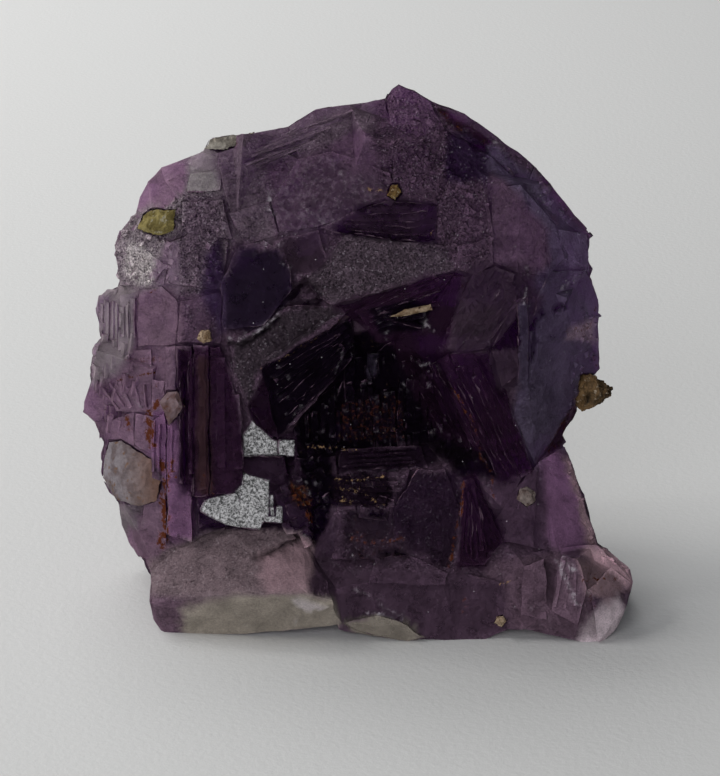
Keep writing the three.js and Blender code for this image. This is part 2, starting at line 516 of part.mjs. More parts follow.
const BACK_STEPS = [
  [[-12, 17.4, 42], [9, 6, 12], [8, 10, -12]],
  [[-17.5, 14.6, 49.5], [9, 5, 8], [12, 22, 34]],
  [[8, 18.6, 39], [8, 5, 11], [8, 10, -12]],
  [[4.5, 18.4, 29], [15, 4, 7], [8, 10, -12]],
  [[11, 15.4, 46], [8, 7, 9], [-14, 14, 26]],
  [[-0.5, 16, 53], [8, 6, 8], [14, -10, 34]],
  [[-25, 13.6, 32], [9, 6, 10], [-14, 10, 16]],
  [[-11, 16.8, 22], [11, 8, 9], [-14, 10, 16]],
  [[19, 16.4, 28], [10, 6, 8], [10, -10, 20]],
  [[13, 17.6, 18], [11, 6, 8], [-4, 6, 8]],
  [[-3, 18, 10], [12, 5, 7], [-4, 6, 8]],
  [[24, 10.6, 50], [7, 8, 8], [-14, 14, 26]],
  [[10, 9.8, 64], [8, 7, 8], [20, 8, 18]],
  [[-17, 10.4, 60], [8, 6, 8], [-16, 14, 28]],
  [[-26, 13, 14], [8, 5, 7], [4, 6, -18]],
  [[24, 7.6, 16], [7, 6, 8], [-10, 14, 22]],
];

// Shallow hollows of the underside, as X, Y, Z corners. The stone stands on what they leave.
const UNDERSIDE = [
  [[-15, -26, -1], [3, -25, -1], [-2, -8, -1], [-12, -7, -1], [-9, -22, 1.2], [-2, -17, 1],
    [-7, -11, 0.8]],
  [[-14, 0, -1], [14, 2, -1], [20, 10, -1], [6, 20, -1], [-12, 18, -1], [-6, 6, 1.6],
    [4, 12, 2.4], [11, 8, 1.4]],
  [[22, -14, -1], [36, -8, -1], [38, 4, -1], [24, 2, -1], [28, -8, 1.3], [32, -2, 1.8]],
  [[-32, -8, -1], [-21, -6, -1], [-20, 4, -1], [-30, 6, -1], [-26, -2, 1.7]],
];

const FACE_GROUPS = [
  LOWER_FRONT, LOWER_MIDDLE, LEFT_STEPS, LEFT_PRISMS, LEFT_PLATES, UPPER_LEFT, DOME, DARK_FACES,
  V_STEPS, FAN, RIGHT_FLANK, DRUSE_BAND, LOWER_RIGHT,
];

// ---------------------------------------------------------------- lodged grains

// Each is [outline, thickness, bulge]: the outline and thickness as for the faces above, and
// how far the middle of the grain stands out in front of its outline.
const GRAINS = {
  calcite_block: [[[-37.4, 30, -1.2], [-35.5, 30.2, -2.6], [-30.6, 27.2, -6.6],
    [-29.5, 24.5, -8.4], [-30.3, 21.1, -8.8], [-33, 20.3, -7], [-36.4, 21.3, -4],
    [-38.4, 24.6, -1.4], [-38, 28, -0.8]], 7, 1.4],
  calcite_chip: [[[-29.8, 36, -8], [-28.7, 37.6, -8], [-27.1, 37.7, -8.8], [-25.9, 35.3, -9.8],
    [-28.4, 32.4, -9.8]], 4, 0.8],
  brown_knob: [[[31.9, 36, 0.2], [32.2, 39.5, 0.6], [33.6, 40.2, -0.6], [35.6, 40.2, -0.4],
    [37, 39.2, 0.4], [38.3, 38.2, 1.4], [38.1, 37, 1.4], [36.8, 35.9, 0.2], [35, 35.3, -0.8],
    [33.4, 34.4, -0.8]], 6, 1.6],
  yellow_grain: [[[-33.2, 62, -0.8], [-32.3, 63.9, -0.4], [-31, 64.9, -0.4], [-27.4, 64.9, -2.2],
    [-27.6, 61.6, -4], [-29.5, 60.9, -3.6], [-31.5, 61.3, -2.2]], 5, 0.8],
  pale_grain: [[[23.7, 21.4, -15], [24.1, 23, -14.4], [25.3, 23.4, -14], [26.6, 22.6, -14],
    [26.7, 21, -14.6], [25.4, 20.2, -15.2]], 3.5, 0.8],
  tan_sliver: [[[4.6, 48.7, -8.4], [7, 49.9, -8.6], [10.9, 50.7, -8.2], [11.2, 49.8, -7.8],
    [7.4, 48.9, -8.2]], 2, 0.4],
  tan_crumb_left: [[[-24.3, 45.4, -9.4], [-23.6, 46.9, -9], [-22.2, 46.8, -9.2],
    [-21.9, 45.2, -9.8], [-23.2, 44.7, -9.9]], 2.6, 0.5],
  tan_crumb_low: [[[20.4, 2.8, -21.7], [20.8, 3.8, -21.5], [21.8, 4, -21.5], [22.3, 3.1, -21.7],
    [21.6, 2.2, -21.8]], 2.4, 0.3],
  ochre_crumb: [[[4.3, 67, -4.4], [4.9, 68.5, -3.8], [6, 68.7, -3.8], [6.5, 67.4, -4.2],
    [5.6, 66.3, -4.6]], 2.6, 0.4],
  tan_crust: [[[-23.2, 73.9, 2.4], [-22, 75.6, 2.8], [-18, 76.1, 2.8], [-15.4, 76.5, 3],
    [-17.4, 74.7, 1.8], [-20.6, 73.7, 1.6]], 4, 0.5],
};

const FINISHES = {
  fluorite_mass: { color: 0x4a3a66, roughness: 0.25, metalness: 0 },
  calcite_block: { color: 0xb79c93, roughness: 0.45, metalness: 0 },
  calcite_chip: { color: 0xb09a98, roughness: 0.45, metalness: 0 },
  brown_knob: { color: 0x7a5a45, roughness: 0.7, metalness: 0 },
  yellow_grain: { color: 0xc9b58a, roughness: 0.6, metalness: 0 },
  pale_grain: { color: 0xcfc8c4, roughness: 0.5, metalness: 0 },
  tan_sliver: { color: 0xc8ad8a, roughness: 0.6, metalness: 0 },
  tan_crumb_left: { color: 0xb99a78, roughness: 0.7, metalness: 0 },
  tan_crumb_low: { color: 0xb99a78, roughness: 0.7, metalness: 0 },
  ochre_crumb: { color: 0xa9783f, roughness: 0.7, metalness: 0 },
  tan_crust: { color: 0xb3a58f, roughness: 0.7, metalness: 0 },
};

// ---------------------------------------------------------------- assembly

// The room that a grain takes out of the fluorite: its own shape, grown by the rest gap.
function roomFor(geometry) {
  const position = geometry.attributes.position;
  const corners = [];
  for (let i = 0; i < position.count; i += 1) {
    corners.push(new THREE.Vector3().fromBufferAttribute(position, i));
  }
  const centre = middle(corners);
  const grown = corners.map((corner) => {
    const outward = corner.clone().sub(centre);
    return corner.clone().addScaledVector(outward.normalize(), REST_GAP * 1.5);
  });
  return toSolid(hullGeometry(grown));
}

// Everything below the surface that the stone stands on.
function belowGround() {
  const ground = new THREE.BoxGeometry(2 * WIDTH, 2 * DEPTH, HEIGHT);
  ground.translate(0, 0, -HEIGHT / 2);
  return toSolid(ground);
}

// The skin joins the corners of all the front faces to each other and to the outline.
function skin() {
  const apart = 3;
  const corners = FACE_GROUPS.flat().flatMap(([outline]) => outline);
  const deepestFirst = corners.toSorted((a, b) => b[2] - a[2]);
  const kept = OUTLINE.map(([across, up, depth]) => [across, up, depth]);
  for (const [across, up, depth] of deepestFirst) {
    const near = kept.some(([x, y]) => Math.hypot(x - across, y - up) < apart);
    if (!near && inside([across, up], OUTLINE)) {
      kept.push([across, up, depth + SKIN_SETBACK]);
    }
  }
  const within = (corner) => {
    const [x, y] = [0, 1].map((axis) => (kept[corner[0]][axis] + kept[corner[1]][axis]
      + kept[corner[2]][axis]) / 3);
    return inside([x, y], OUTLINE);
  };
  const triangles = joinPoints(kept).filter(within);
  const back = kept.map(([across, up, depth]) => seen([
    across * SKIN_DRAW, AIM_UP + (up - AIM_UP) * SKIN_DRAW, depth + SKIN_DEPTH,
  ]));
  return sightPrism(triangles, kept.map(seen), back);
}

// All that lies within the outline, seen from the standpoint.
function sightCone() {
  const flat = OUTLINE.map(([across, up]) => new THREE.Vector2(across, up));
  const triangles = THREE.ShapeUtils.triangulateShape(flat, []);
  const at = (depth) => OUTLINE.map(([across, up]) => seen([across, up, depth]));
  return sightPrism(triangles.map(([a, b, c]) => [a, b, c]), at(-DEPTH), at(DEPTH));
}

function buildFluorite(grains) {
  const behind = [
    ...BACK_BODIES.map(backBody),
    ...[...BACK_CUBES, ...BACK_STEPS].map((crystal) => cube(...crystal)),
  ].map(toSolid);
  const faces = FACE_GROUPS.flat().map(([outline, thickness]) => faceBlock(outline, thickness));
  const parts = [joinAll(behind).intersect(toSolid(sightCone())), ...[skin(), ...faces].map(toSolid)];
  let mass = joinAll(parts).subtract(belowGround());
  for (const corners of UNDERSIDE) {
    mass = mass.subtract(toSolid(hullGeometry(corners.map((corner) => new THREE.Vector3(...corner)))));
  }
  for (const grain of Object.values(grains)) {
    mass = mass.subtract(roomFor(grain));
  }
  return toGeometry(mass);
}

function buildGrains() {
  const entries = Object.entries(GRAINS);
  return Object.fromEntries(
    entries.map(([name, measures]) => [name, grainBlock(...measures)]),
  );
}

function buildCluster() {
  const grains = buildGrains();
  const pieces = { fluorite_mass: buildFluorite(grains), ...grains };
  const cluster = new THREE.Group();
  for (const [name, geometry] of Object.entries(pieces)) {
    const mesh = new THREE.Mesh(geometry, new THREE.MeshStandardMaterial(FINISHES[name]));
    mesh.name = name;
    cluster.add(mesh);
  }
  return cluster;
}

export default buildCluster();
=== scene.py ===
"""A purple fluorite cluster standing on pale paper in soft daylight."""
import json
import math
import random

import bmesh
import bpy
import numpy as np
from mathutils import Matrix, Vector, noise
from mathutils.bvhtree import BVHTree

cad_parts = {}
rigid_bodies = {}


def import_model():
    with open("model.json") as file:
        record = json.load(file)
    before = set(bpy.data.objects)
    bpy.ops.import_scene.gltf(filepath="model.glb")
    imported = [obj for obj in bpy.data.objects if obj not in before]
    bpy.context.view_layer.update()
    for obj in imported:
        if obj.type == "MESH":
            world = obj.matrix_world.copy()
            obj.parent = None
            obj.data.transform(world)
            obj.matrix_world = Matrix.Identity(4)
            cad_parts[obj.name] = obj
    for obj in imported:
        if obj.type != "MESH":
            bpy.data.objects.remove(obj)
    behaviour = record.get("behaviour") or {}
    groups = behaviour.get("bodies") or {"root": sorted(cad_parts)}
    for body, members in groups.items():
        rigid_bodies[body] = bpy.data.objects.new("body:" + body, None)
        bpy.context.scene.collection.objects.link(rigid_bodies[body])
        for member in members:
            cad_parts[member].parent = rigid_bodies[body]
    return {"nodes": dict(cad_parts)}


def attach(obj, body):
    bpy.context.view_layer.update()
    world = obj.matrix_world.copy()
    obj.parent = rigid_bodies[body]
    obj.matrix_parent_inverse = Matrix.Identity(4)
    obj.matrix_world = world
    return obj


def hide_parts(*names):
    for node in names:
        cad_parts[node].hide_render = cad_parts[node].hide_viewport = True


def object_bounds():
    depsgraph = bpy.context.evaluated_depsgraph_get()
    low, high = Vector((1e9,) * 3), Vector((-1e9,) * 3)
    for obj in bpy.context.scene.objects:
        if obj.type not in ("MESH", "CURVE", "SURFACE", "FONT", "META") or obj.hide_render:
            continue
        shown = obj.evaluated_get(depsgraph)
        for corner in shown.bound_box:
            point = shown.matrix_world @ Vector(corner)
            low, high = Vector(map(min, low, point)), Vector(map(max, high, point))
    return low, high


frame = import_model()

MM = 0.001
SEED = 11
random.seed(SEED)
noise.seed_set(SEED)

cad_low, cad_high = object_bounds()

# ---------- layout
# The front is laid out from a standpoint before the stone and a little above it, in mm:
# "across" and "up" are measured on the plane through the middle of the stone that faces
# the standpoint.
ELEVATION = math.radians(20)
STAND_OFF = 450.0
AIM_ACROSS, AIM_UP = 0.3, 38.1  # the aim point's own "across" and "up"
DATUM = Vector((0.625, -0.4, 0.0))  # brings the middle of the footprint to the origin
AIM = Vector((AIM_ACROSS, 0.0, 31.6)) + DATUM
RIGHT = Vector((1, 0, 0))
UP = Vector((0, math.sin(ELEVATION), math.cos(ELEVATION)))
AHEAD = Vector((0, math.cos(ELEVATION), -math.sin(ELEVATION)))
EYE = AIM - AHEAD * STAND_OFF


def on_plane(across, up):
    """The point at that place on the plane that the layout is measured on."""
    return AIM + RIGHT * (across - AIM_ACROSS) + UP * (up - AIM_UP)


def layout_of(points):
    """(across, up) of each row of an array of points."""
    rays = points - np.array(EYE)
    reach = STAND_OFF / (rays @ np.array(AHEAD))
    hits = rays * reach[:, None] + np.array(EYE) - np.array(AIM)
    return np.stack([hits[:, 0] + AIM_ACROSS, hits @ np.array(UP) + AIM_UP], axis=1)


def inside(places, outline):
    """Which of the (across, up) places lie within the outline."""
    within = np.zeros(len(places), bool)
    x, y = places[:, 0], places[:, 1]
    for (ax, ay), (bx, by) in zip(outline, outline[1:] + outline[:1]):
        if ay == by:
            continue
        crosses = ((ay > y) != (by > y)) & (x < ax + (y - ay) * (bx - ax) / (by - ay))
        within ^= crosses
    return within


def along_line(spots, points, far=4.0):
    """Distance of each spot from a line of points, or far where it is at least about that."""
    points = np.array(points, float)
    best = np.full(len(spots), far)
    low_corner, high_corner = points.min(axis=0) - far, points.max(axis=0) + far
    near = np.flatnonzero(((spots > low_corner) & (spots < high_corner)).all(axis=1))
    some = spots[near]
    for a, b in zip(points, points[1:]):
        t = np.clip(((some - a) @ (b - a)) / max((b - a) @ (b - a), 1e-9), 0, 1)
        away = some - a - t[:, None] * (b - a)
        best[near] = np.minimum(best[near], np.sqrt((away * away).sum(axis=1)))
    return best


# ---------- the look of each area
# Tones of the light that the surface scatters, before its own shadows; besides the stone's own colours they
# hold painted light and shade of faces that catch more or less light.
TONES = {
    # ink is near black for the deepest hollows: the dark thick crystal together with painted shade of the
    # hollow.
    "ink": (0.004, 0.002, 0.005),
    "wine": (0.030, 0.011, 0.028),
    "deep": (0.028, 0.014, 0.028),
    "lobe": (0.030, 0.017, 0.040),
    "umber": (0.09, 0.04, 0.05),
    "dusk": (0.12, 0.07, 0.11),
    "slate": (0.08, 0.06, 0.10),
    "plum": (0.14, 0.08, 0.13),
    "smoke": (0.18, 0.125, 0.165),
    "pearl": (0.28, 0.23, 0.25),
    "lilac": (0.30, 0.15, 0.28),
    "lavender": (0.28, 0.17, 0.24),
    "mauve": (0.25, 0.18, 0.20),
    "rose": (0.34, 0.22, 0.25),
    "ash": (0.45, 0.40, 0.40),
    "haze": (0.30, 0.26, 0.22),
    # the grey of the painted reflection on silvery cleavage faces
    "silver": (0.30, 0.30, 0.31),
}
# Steps from a dark face of a tone to a bright one: partly the faces' own colour, partly painted light and
# shade for faces that catch more or less light.
FAINT, DIM, DULL, PLAIN, LIGHT, BRIGHT = 0.3, 0.5, 0.75, 1.0, 1.4, 2.0


def area(tone, step, frost, grain, soft, outline, **extras):
    """A face of the front, painted over the ones before it.

    frost is how much its surface scatters, grain the height of its roughness and soft the
    width of its edge, both in mm. Extras: ribs (direction in degrees, spacing, height), rays
    (centre, spacing in degrees, height), rust, gold, clear, cloud (pale veils; the same channel
    carries painted glints), cubes and mirror (a painted reflection on silvery cleavage faces)."""
    return tone, step, frost, grain, soft, outline, extras


AREAS = [
    area("dusk", PLAIN, 0.6, 0.1, 0.6, [(-41, 30), (-41, 54), (-36, 73), (-20, 77), (0, 84), (20, 84),
        (38, 62), (38, 40), (34, 20), (42, 12), (42, -2), (-34, -2), (-34, 12)]),
    # upper left
    area("pearl", PLAIN, 0.8, 0.16, 2.0, [(-38, 53), (-38, 62), (-33, 74), (-22, 76), (-19.6, 68),
        (-19.6, 60), (-21, 53)]),
    area("ash", PLAIN, 0.8, 0.14, 0.6, [(-35, 55), (-34.6, 60), (-32, 59.5), (-28.6, 55.6), (-32, 53.4)]),
    area("smoke", DULL, 0.8, 0.12, 2.4, [(-27, 52.4), (-27.4, 60), (-26, 67), (-20, 67.6), (-19.6, 53)]),
    area("smoke", BRIGHT, 0.5, 0.06, 0.6, [(-31, 55), (-28.8, 60.6), (-27, 60), (-26.8, 52.4), (-29, 52)]),
    area("ash", DULL, 0.6, 0.04, 0.3, [(-25.6, 67.6), (-25.8, 71), (-22, 72.6), (-19.8, 71), (-20.6, 68)]),
    area("lavender", LIGHT, 0.5, 0.06, 0.6, [(-34, 65.4), (-31, 70.4), (-27, 73), (-25.8, 72), (-26, 67.4),
        (-29, 65)]),
    area("pearl", LIGHT, 0.5, 0.05, 0.5, [(-25.6, 71), (-25, 73.4), (-18, 75.4), (-18, 73.6),
        (-21.4, 70.6)]),
    area("lobe", BRIGHT, 0.5, 0.12, 1.6, [(-21, 46), (-23.4, 52), (-23, 58), (-20.6, 60), (-19.6, 47)]),
    area("lavender", PLAIN, 0.45, 0.04, 1.0, [(-33.2, 42.4), (-33.4, 52), (-28, 53.4), (-26, 48),
        (-26.4, 43.6)]),
    # dome
    area("smoke", PLAIN, 0.6, 0.05, 1.2, [(-20.6, 69), (-22, 75), (-10, 78), (0, 82), (5.4, 79), (2, 76),
        (-9, 73), (-15, 70)], ribs=(24, 1.0, 0.1)),
    area("smoke", DULL, 0.6, 0.08, 1.4, [(-20, 60), (-20.4, 70), (-14, 70.6), (-12.6, 66), (-12.4, 60)]),
    area("plum", PLAIN, 0.4, 0.04, 1.6, [(-12.6, 60.6), (-12.8, 68), (-9, 72.6), (-2, 73.6), (4.6, 69.4),
        (5.2, 67), (0, 65), (-6, 61.4)], cloud=0.25),
    area("plum", LIGHT, 0.45, 0.02, 0.8, [(-4, 74.4), (0.4, 77.6), (3, 75), (5.2, 72.4), (4.8, 69.2),
        (-0.5, 70.6)]),
    area("deep", BRIGHT, 0.3, 0.04, 0.5, [(-4, 62.4), (0, 65), (5, 66.4), (12, 65.6), (11.8, 60), (5, 60),
        (-2, 61.2)], ribs=(6, 1.3, 0.2)),
    area("smoke", DIM, 0.75, 0.03, 0.3, [(-8, 54.6), (-4.5, 57), (-2, 61.4), (5, 60.2), (14.8, 59.6),
        (15, 56.2), (10.5, 55), (5, 53), (0, 51.5), (-4, 50.3), (-6, 52.6)]),
    area("plum", DIM, 0.35, 0.04, 0.7, [(-10.6, 55.6), (-12, 60), (-6, 61.6), (-4.6, 57.2), (-6, 55.2)]),
    # peak and sparkling band
    area("dusk", DULL, 0.8, 0.1, 0.9, [(3.4, 69), (2, 77), (4, 83), (6, 84), (13, 80.6), (14.6, 70),
        (19.8, 68), (20.2, 57), (15, 56.2), (12, 60), (12, 66), (6, 66.6)], cubes=0.6),
    area("plum", PLAIN, 0.7, 0.08, 1.2, [(4, 77), (5, 84), (12, 81), (11.4, 77), (8, 75)]),
    area("lobe", PLAIN, 0.7, 0.1, 1.2, [(13, 69), (13.4, 76), (16, 77), (20, 74.4), (20, 69)]),
    area("plum", DULL, 0.7, 0.06, 0.8, [(15, 57), (15.4, 66), (19.6, 66), (19.4, 60), (18, 57.6)]),
    # right flank
    area("slate", BRIGHT, 0.5, 0.04, 1.2, [(19.6, 74.8), (25, 73), (30, 67), (35.4, 60.6), (34.4, 56),
        (29.6, 56), (26.6, 64), (19.6, 71)], ribs=(-46, 1.4, 0.06)),
    area("plum", LIGHT, 0.45, 0.02, 1.4, [(20, 56.4), (20.2, 69.6), (24.2, 67.6), (28.4, 61.6),
        (27.6, 56.4)]),
    area("umber", FAINT, 0.5, 0.05, 0.5, [(12, 80), (14, 79.4), (20, 75), (19.6, 74.4), (14.2, 77)],
        rust=0.2),
    area("smoke", DIM, 0.6, 0.06, 0.7, [(12.6, 80.8), (20, 77.5), (27, 71.6), (35.6, 61), (34.4, 60.6),
        (26.4, 69.8), (19.4, 75.6)]),
    area("slate", LIGHT, 0.5, 0.02, 0.7, [(24, 38), (26, 54), (29, 57), (35.4, 56), (37, 50), (37, 38),
        (32, 30), (26.5, 26), (22.6, 33)], ribs=(72, 3.4, 0.04)),
    area("slate", BRIGHT, 0.4, 0.02, 3.0, [(30, 37), (28, 46), (30.6, 51), (35, 52), (36.6, 46), (36, 40)]),
    area("smoke", BRIGHT, 0.6, 0.1, 1.2, [(31.4, 45.2), (32, 47.4), (35.6, 48.6), (35.8, 45)], rust=0.3),
    area("umber", FAINT, 0.6, 0.08, 0.6, [(28, 27), (31.6, 35), (33.6, 36), (30.4, 28.6)], rust=0.3),
    # the V
    area("lobe", PLAIN, 0.35, 0.02, 0.8, [(-19.8, 46.4), (-14, 47.2), (-10.6, 51), (-9.6, 55), (-12, 58.6),
        (-18, 59.5), (-20.2, 54)]),
    area("smoke", FAINT, 0.7, 0.1, 0.4, [(-19.2, 44.4), (-16, 46.2), (-11, 49.6), (-4, 50.4), (-1, 50),
        (-7.6, 46), (-14.4, 41.2), (-16.4, 35.4), (-18.8, 40)]),
    area("wine", PLAIN, 0.3, 0.03, 0.5, [(-16.6, 35.6), (-13.8, 40.2), (-11.6, 40), (-12, 30.6),
        (-13.4, 30.8), (-16, 33.6)]),
    area("ink", LIGHT, 0.04, 0.02, 0.4, [(-14.4, 41.2), (-7.6, 45.4), (-1, 48.8), (0, 43.2), (-9.8, 33.2),
        (-12, 30.4)], gold=0.12, clear=-2),
    area("ink", PLAIN, 0.04, 0.05, 0.6, [(-12, 30), (-3.4, 40), (-0.6, 46), (3, 47.4), (7, 44), (10, 36),
        (14, 28.6), (10.6, 29.4), (-3.4, 28.6)], gold=0.16, clear=-2),
    area("slate", DIM, 0.3, 0.02, 0.15, [(1.4, 39.8), (1.5, 43), (2.9, 43.2), (2.8, 40)]),
    area("ink", BRIGHT, 0.3, 0.02, 0.2, [(-2.2, 36), (-1.8, 42.6), (-0.5, 43.2), (-0.4, 35.6)]),
    area("ink", LIGHT, 0.1, 0.05, 1.0, [(-3.2, 30.2), (-3, 35.4), (1, 36.6), (6.6, 37), (7, 33), (7.6, 30)],
        gold=0.3, rust=0.3, clear=-2),
    area("wine", DIM, 0.12, 0.03, 1.4, [(5, 46), (9.6, 45), (15, 43.6), (15.4, 38), (18, 32), (18.6, 27.4),
        (13, 28.8), (9, 36)], clear=-1.5),
    area("wine", BRIGHT, 0.2, 0.05, 0.6, [(-4, 50.4), (4.4, 52.8), (11, 55), (14.6, 55.8), (17, 55),
        (13, 44), (8, 43.6), (2, 46), (-1, 48.4)], rays=((-6, 51), 2.6, 0.12)),
    area("ink", BRIGHT, 0.1, 0.06, 0.8, [(1.4, 49.8), (8, 51.8), (10.8, 50), (10, 46.6), (3.4, 45.8),
        (2, 48)], gold=0.12, clear=-1.5),
    area("plum", DIM, 0.45, 0.05, 1.5, [(14, 44), (15.6, 56), (20.6, 57), (25, 56.4), (28, 51.6), (25, 46),
        (19, 42.6)], ribs=(38, 1.4, 0.16)),
    area("wine", DULL, 0.2, 0.03, 0.5, [(19.6, 43.6), (23.8, 49), (24.2, 43.4)]),
    area("wine", BRIGHT, 0.2, 0.05, 0.8, [(13, 42), (15, 43.6), (20, 43.4), (23.4, 34), (26.4, 25.6),
        (24.4, 22.6), (20.2, 24), (17.6, 28)], ribs=(-58, 1.2, 0.22)),
    area("plum", DIM, 0.4, 0.03, 1.0, [(20.4, 38), (20, 42.6), (24.2, 44), (24.4, 38)]),
    area("slate", PLAIN, 0.45, 0.02, 0.25, [(24.1, 38.4), (24, 51), (25.6, 51), (25.8, 38.4)]),
    area("deep", FAINT, 0.4, 0.03, 1.2, [(7.6, 29.4), (13, 30.4), (19.4, 28.4), (21.4, 24.6), (15.6, 24.6),
        (13.4, 26.4)]),
    # lower right
    area("lilac", LIGHT, 0.4, 0.02, 1.0, [(27, 27), (30, 28.8), (31.6, 26), (34, 20), (36, 14.6), (30, 13.4),
        (28, 16)]),
    area("plum", PLAIN, 0.4, 0.03, 1.4, [(20, 24.6), (22, 24), (26.6, 25.4), (27.4, 27), (28.6, 16),
        (28, 13.8), (22, 14), (20.6, 17.6)]),
    area("rose", LIGHT, 0.6, 0.1, 0.6, [(30.6, 28), (31.6, 28.4), (36, 15), (36.4, 13.6), (34.8, 14),
        (33, 21)], rust=0.2),
    area("wine", BRIGHT, 0.2, 0.03, 0.35, [(15.8, 24.8), (15, 11.2), (19, 11.5), (22, 15), (20, 20),
        (17.8, 25)], ribs=(104, 1.0, 0.18)),
    area("lavender", DULL, 0.45, 0.05, 1.0, [(19, 2), (17, 9), (20.6, 12), (27, 13), (30, 14), (34.4, 8),
        (36, -1), (32.5, 0.6)], rust=0.06),
    area("pearl", BRIGHT, 0.5, 0.03, 1.4, [(33.6, 2), (36.4, 5.6), (39, 7), (41, 4), (38, -1), (32, -1)],
        clear=-1),
    area("rose", BRIGHT, 0.5, 0.04, 1.2, [(34, 13.8), (36, 14.8), (41.6, 11), (41, 8), (38, 9.8),
        (35.4, 11)], clear=-1),
    area("rose", LIGHT, 0.4, 0.05, 1.0, [(33, 12.8), (36, 11.6), (39, 9.4), (40.6, 8), (37, 6.6), (33.6, 7)],
        rust=0.3),
    area("lavender", PLAIN, 0.45, 0.04, 1.6, [(29.6, 4), (29.8, 13), (32.4, 12.6), (34.4, 8), (33, 3.4)],
        ribs=(-62, 1.8, 0.05)),
    # lower middle
    area("plum", PLAIN, 0.35, 0.02, 0.9, [(-3.6, 1.8), (-4.4, 8), (-2, 11), (5, 10.8), (15, 10.2), (22, 9),
        (22.5, 1.9), (15, -0.6), (7, -0.6)]),
    area("plum", DULL, 0.45, 0.04, 0.7, [(-6.8, 8), (-6.6, 14), (-4, 19), (-1.6, 17), (-2.4, 11),
        (-4, 7.6)]),
    area("deep", LIGHT, 0.5, 0.04, 0.6, [(4.8, 14), (5, 20), (8, 25.6), (14.8, 25.4), (15.6, 22), (14.8, 15),
        (13.8, 11.4), (8, 11.4)], cubes=0.1),
    area("plum", FAINT, 0.5, 0.06, 1.0, [(-2.6, 14.4), (-2.6, 19.6), (4.6, 20), (5.2, 15), (3, 14)],
        rust=0.1),
    area("plum", DIM, 0.5, 0.06, 0.8, [(-2.4, 11.6), (-2.8, 15), (7.4, 15.6), (8, 12.4), (4, 11)],
        rust=0.16),
    area("plum", DULL, 0.6, 0.08, 1.2, [(6.8, 11), (7.4, 13.6), (10.6, 13.2), (11, 10.8)]),
    area("deep", DIM, 0.15, 0.05, 0.6, [(-4.4, 20.4), (-4.4, 25.4), (4.4, 25.4), (5.6, 21.6), (3.8, 20.2)],
        gold=0.3, clear=-1.5),
    area("deep", PLAIN, 0.3, 0.04, 0.5, [(-3.4, 25.6), (-3.4, 28.8), (10.4, 29), (12.4, 26.4), (4, 25.4)]),
    area("ink", LIGHT, 0.1, 0.06, 0.7, [(-9.6, 12), (-9.8, 29.6), (-3.4, 29.6), (-4, 18), (-6.4, 14)],
        gold=0.2, clear=-1.5),
    area("haze", PLAIN, 0.3, 0.01, 0.2, [(-1.9, 2.8), (3, 4.2), (7.5, 2.4), (9.6, 0.8), (7.5, -0.4), (0, 1)],
        clear=-0.8),
    # shelf
    area("mauve", PLAIN, 0.65, 0.02, 0.6, [(-32.4, 6.5), (-32.4, 11.6), (-28, 14.4), (-24.5, 15.6),
        (-20, 17.8), (-14.5, 17.4), (-9.6, 17), (-6.4, 14), (-7.2, 7.4), (-20, 7.2)]),
    area("rose", LIGHT, 0.6, 0.02, 1.6, [(-15, 12.8), (-9, 15.4), (-6.6, 14), (-7.2, 7.6), (-14, 7.6)]),
    area("haze", LIGHT, 0.45, 0.01, 1.0, [(-26, 1), (-27, 6.4), (-20, 7), (-7.2, 7.2), (-3.4, 6.4),
        (-2, 2.4), (-10, 1.4), (-20, 0)], clear=-0.5),
    area("lavender", DULL, 0.5, 0.02, 1.8, [(-32.6, 1), (-32.4, 7), (-29, 6.6), (-20, 6.8), (-26.4, 5),
        (-27, 0.6)]),
    area("ash", BRIGHT, 0.5, 0.02, 0.25, [(-9.8, 6.3), (-8, 6.6), (-6.2, 6), (-5, 5), (-8, 4.8)]),
    # steps left of the middle
    area("deep", BRIGHT, 0.3, 0.03, 0.3, [(-24, 16.8), (-24, 28), (-17.4, 31), (-9.4, 31), (-9, 28),
        (-7, 16), (-11, 17)]),
    area("umber", FAINT, 0.4, 0.08, 0.5, [(-10, 20.4), (-10, 24), (-7.6, 23.4), (-7, 20)], gold=0.6,
        rust=0.6),
    area("silver", LIGHT, 0.75, 0.04, 0.1, [(-17.2, 31), (-15.8, 33.1), (-13, 30.3), (-12, 30), (-12, 28),
        (-17.3, 27.9)], mirror=1),
    area("silver", LIGHT, 0.75, 0.04, 0.1, [(-11.8, 28), (-11.8, 30.3), (-9.6, 30.2), (-9.6, 28)], mirror=1),
    area("silver", DULL, 0.75, 0.04, 0.1, [(-17.2, 25.4), (-13.3, 24.2), (-13.5, 19.5), (-14.7, 16.8),
        (-20, 17.6), (-23.5, 19.6), (-23, 21.3), (-18.5, 22.3), (-17.5, 23.5)], mirror=1),
    area("silver", PLAIN, 0.75, 0.04, 0.1, [(-14, 18), (-14, 18.8), (-12.4, 18.8), (-12.2, 20.3),
        (-11.4, 20.3), (-11.4, 18)], mirror=1),
    area("silver", PLAIN, 0.75, 0.04, 0.1, [(-13.2, 19), (-13.2, 22), (-12.7, 22), (-12.7, 19)], mirror=1),
    # left flank
    area("wine", BRIGHT, 0.3, 0.02, 0.5, [(-27.2, 44.2), (-20.8, 44.4), (-18, 36), (-17.4, 30), (-17.4, 24),
        (-19.5, 22), (-24.8, 21.6), (-27, 23)], ribs=(91, 3.1, 0.04)),
    area("umber", DULL, 0.4, 0.03, 1.0, [(-24.2, 22), (-24, 43), (-22.2, 43), (-21.8, 22)]),
    area("lavender", PLAIN, 0.5, 0.05, 0.7, [(-41.6, 34), (-40, 41), (-33, 44), (-28, 44.4), (-27.4, 36),
        (-29, 34), (-31, 28), (-37, 30)], rust=0.1, ribs=(80, 2.9, 0.08)),
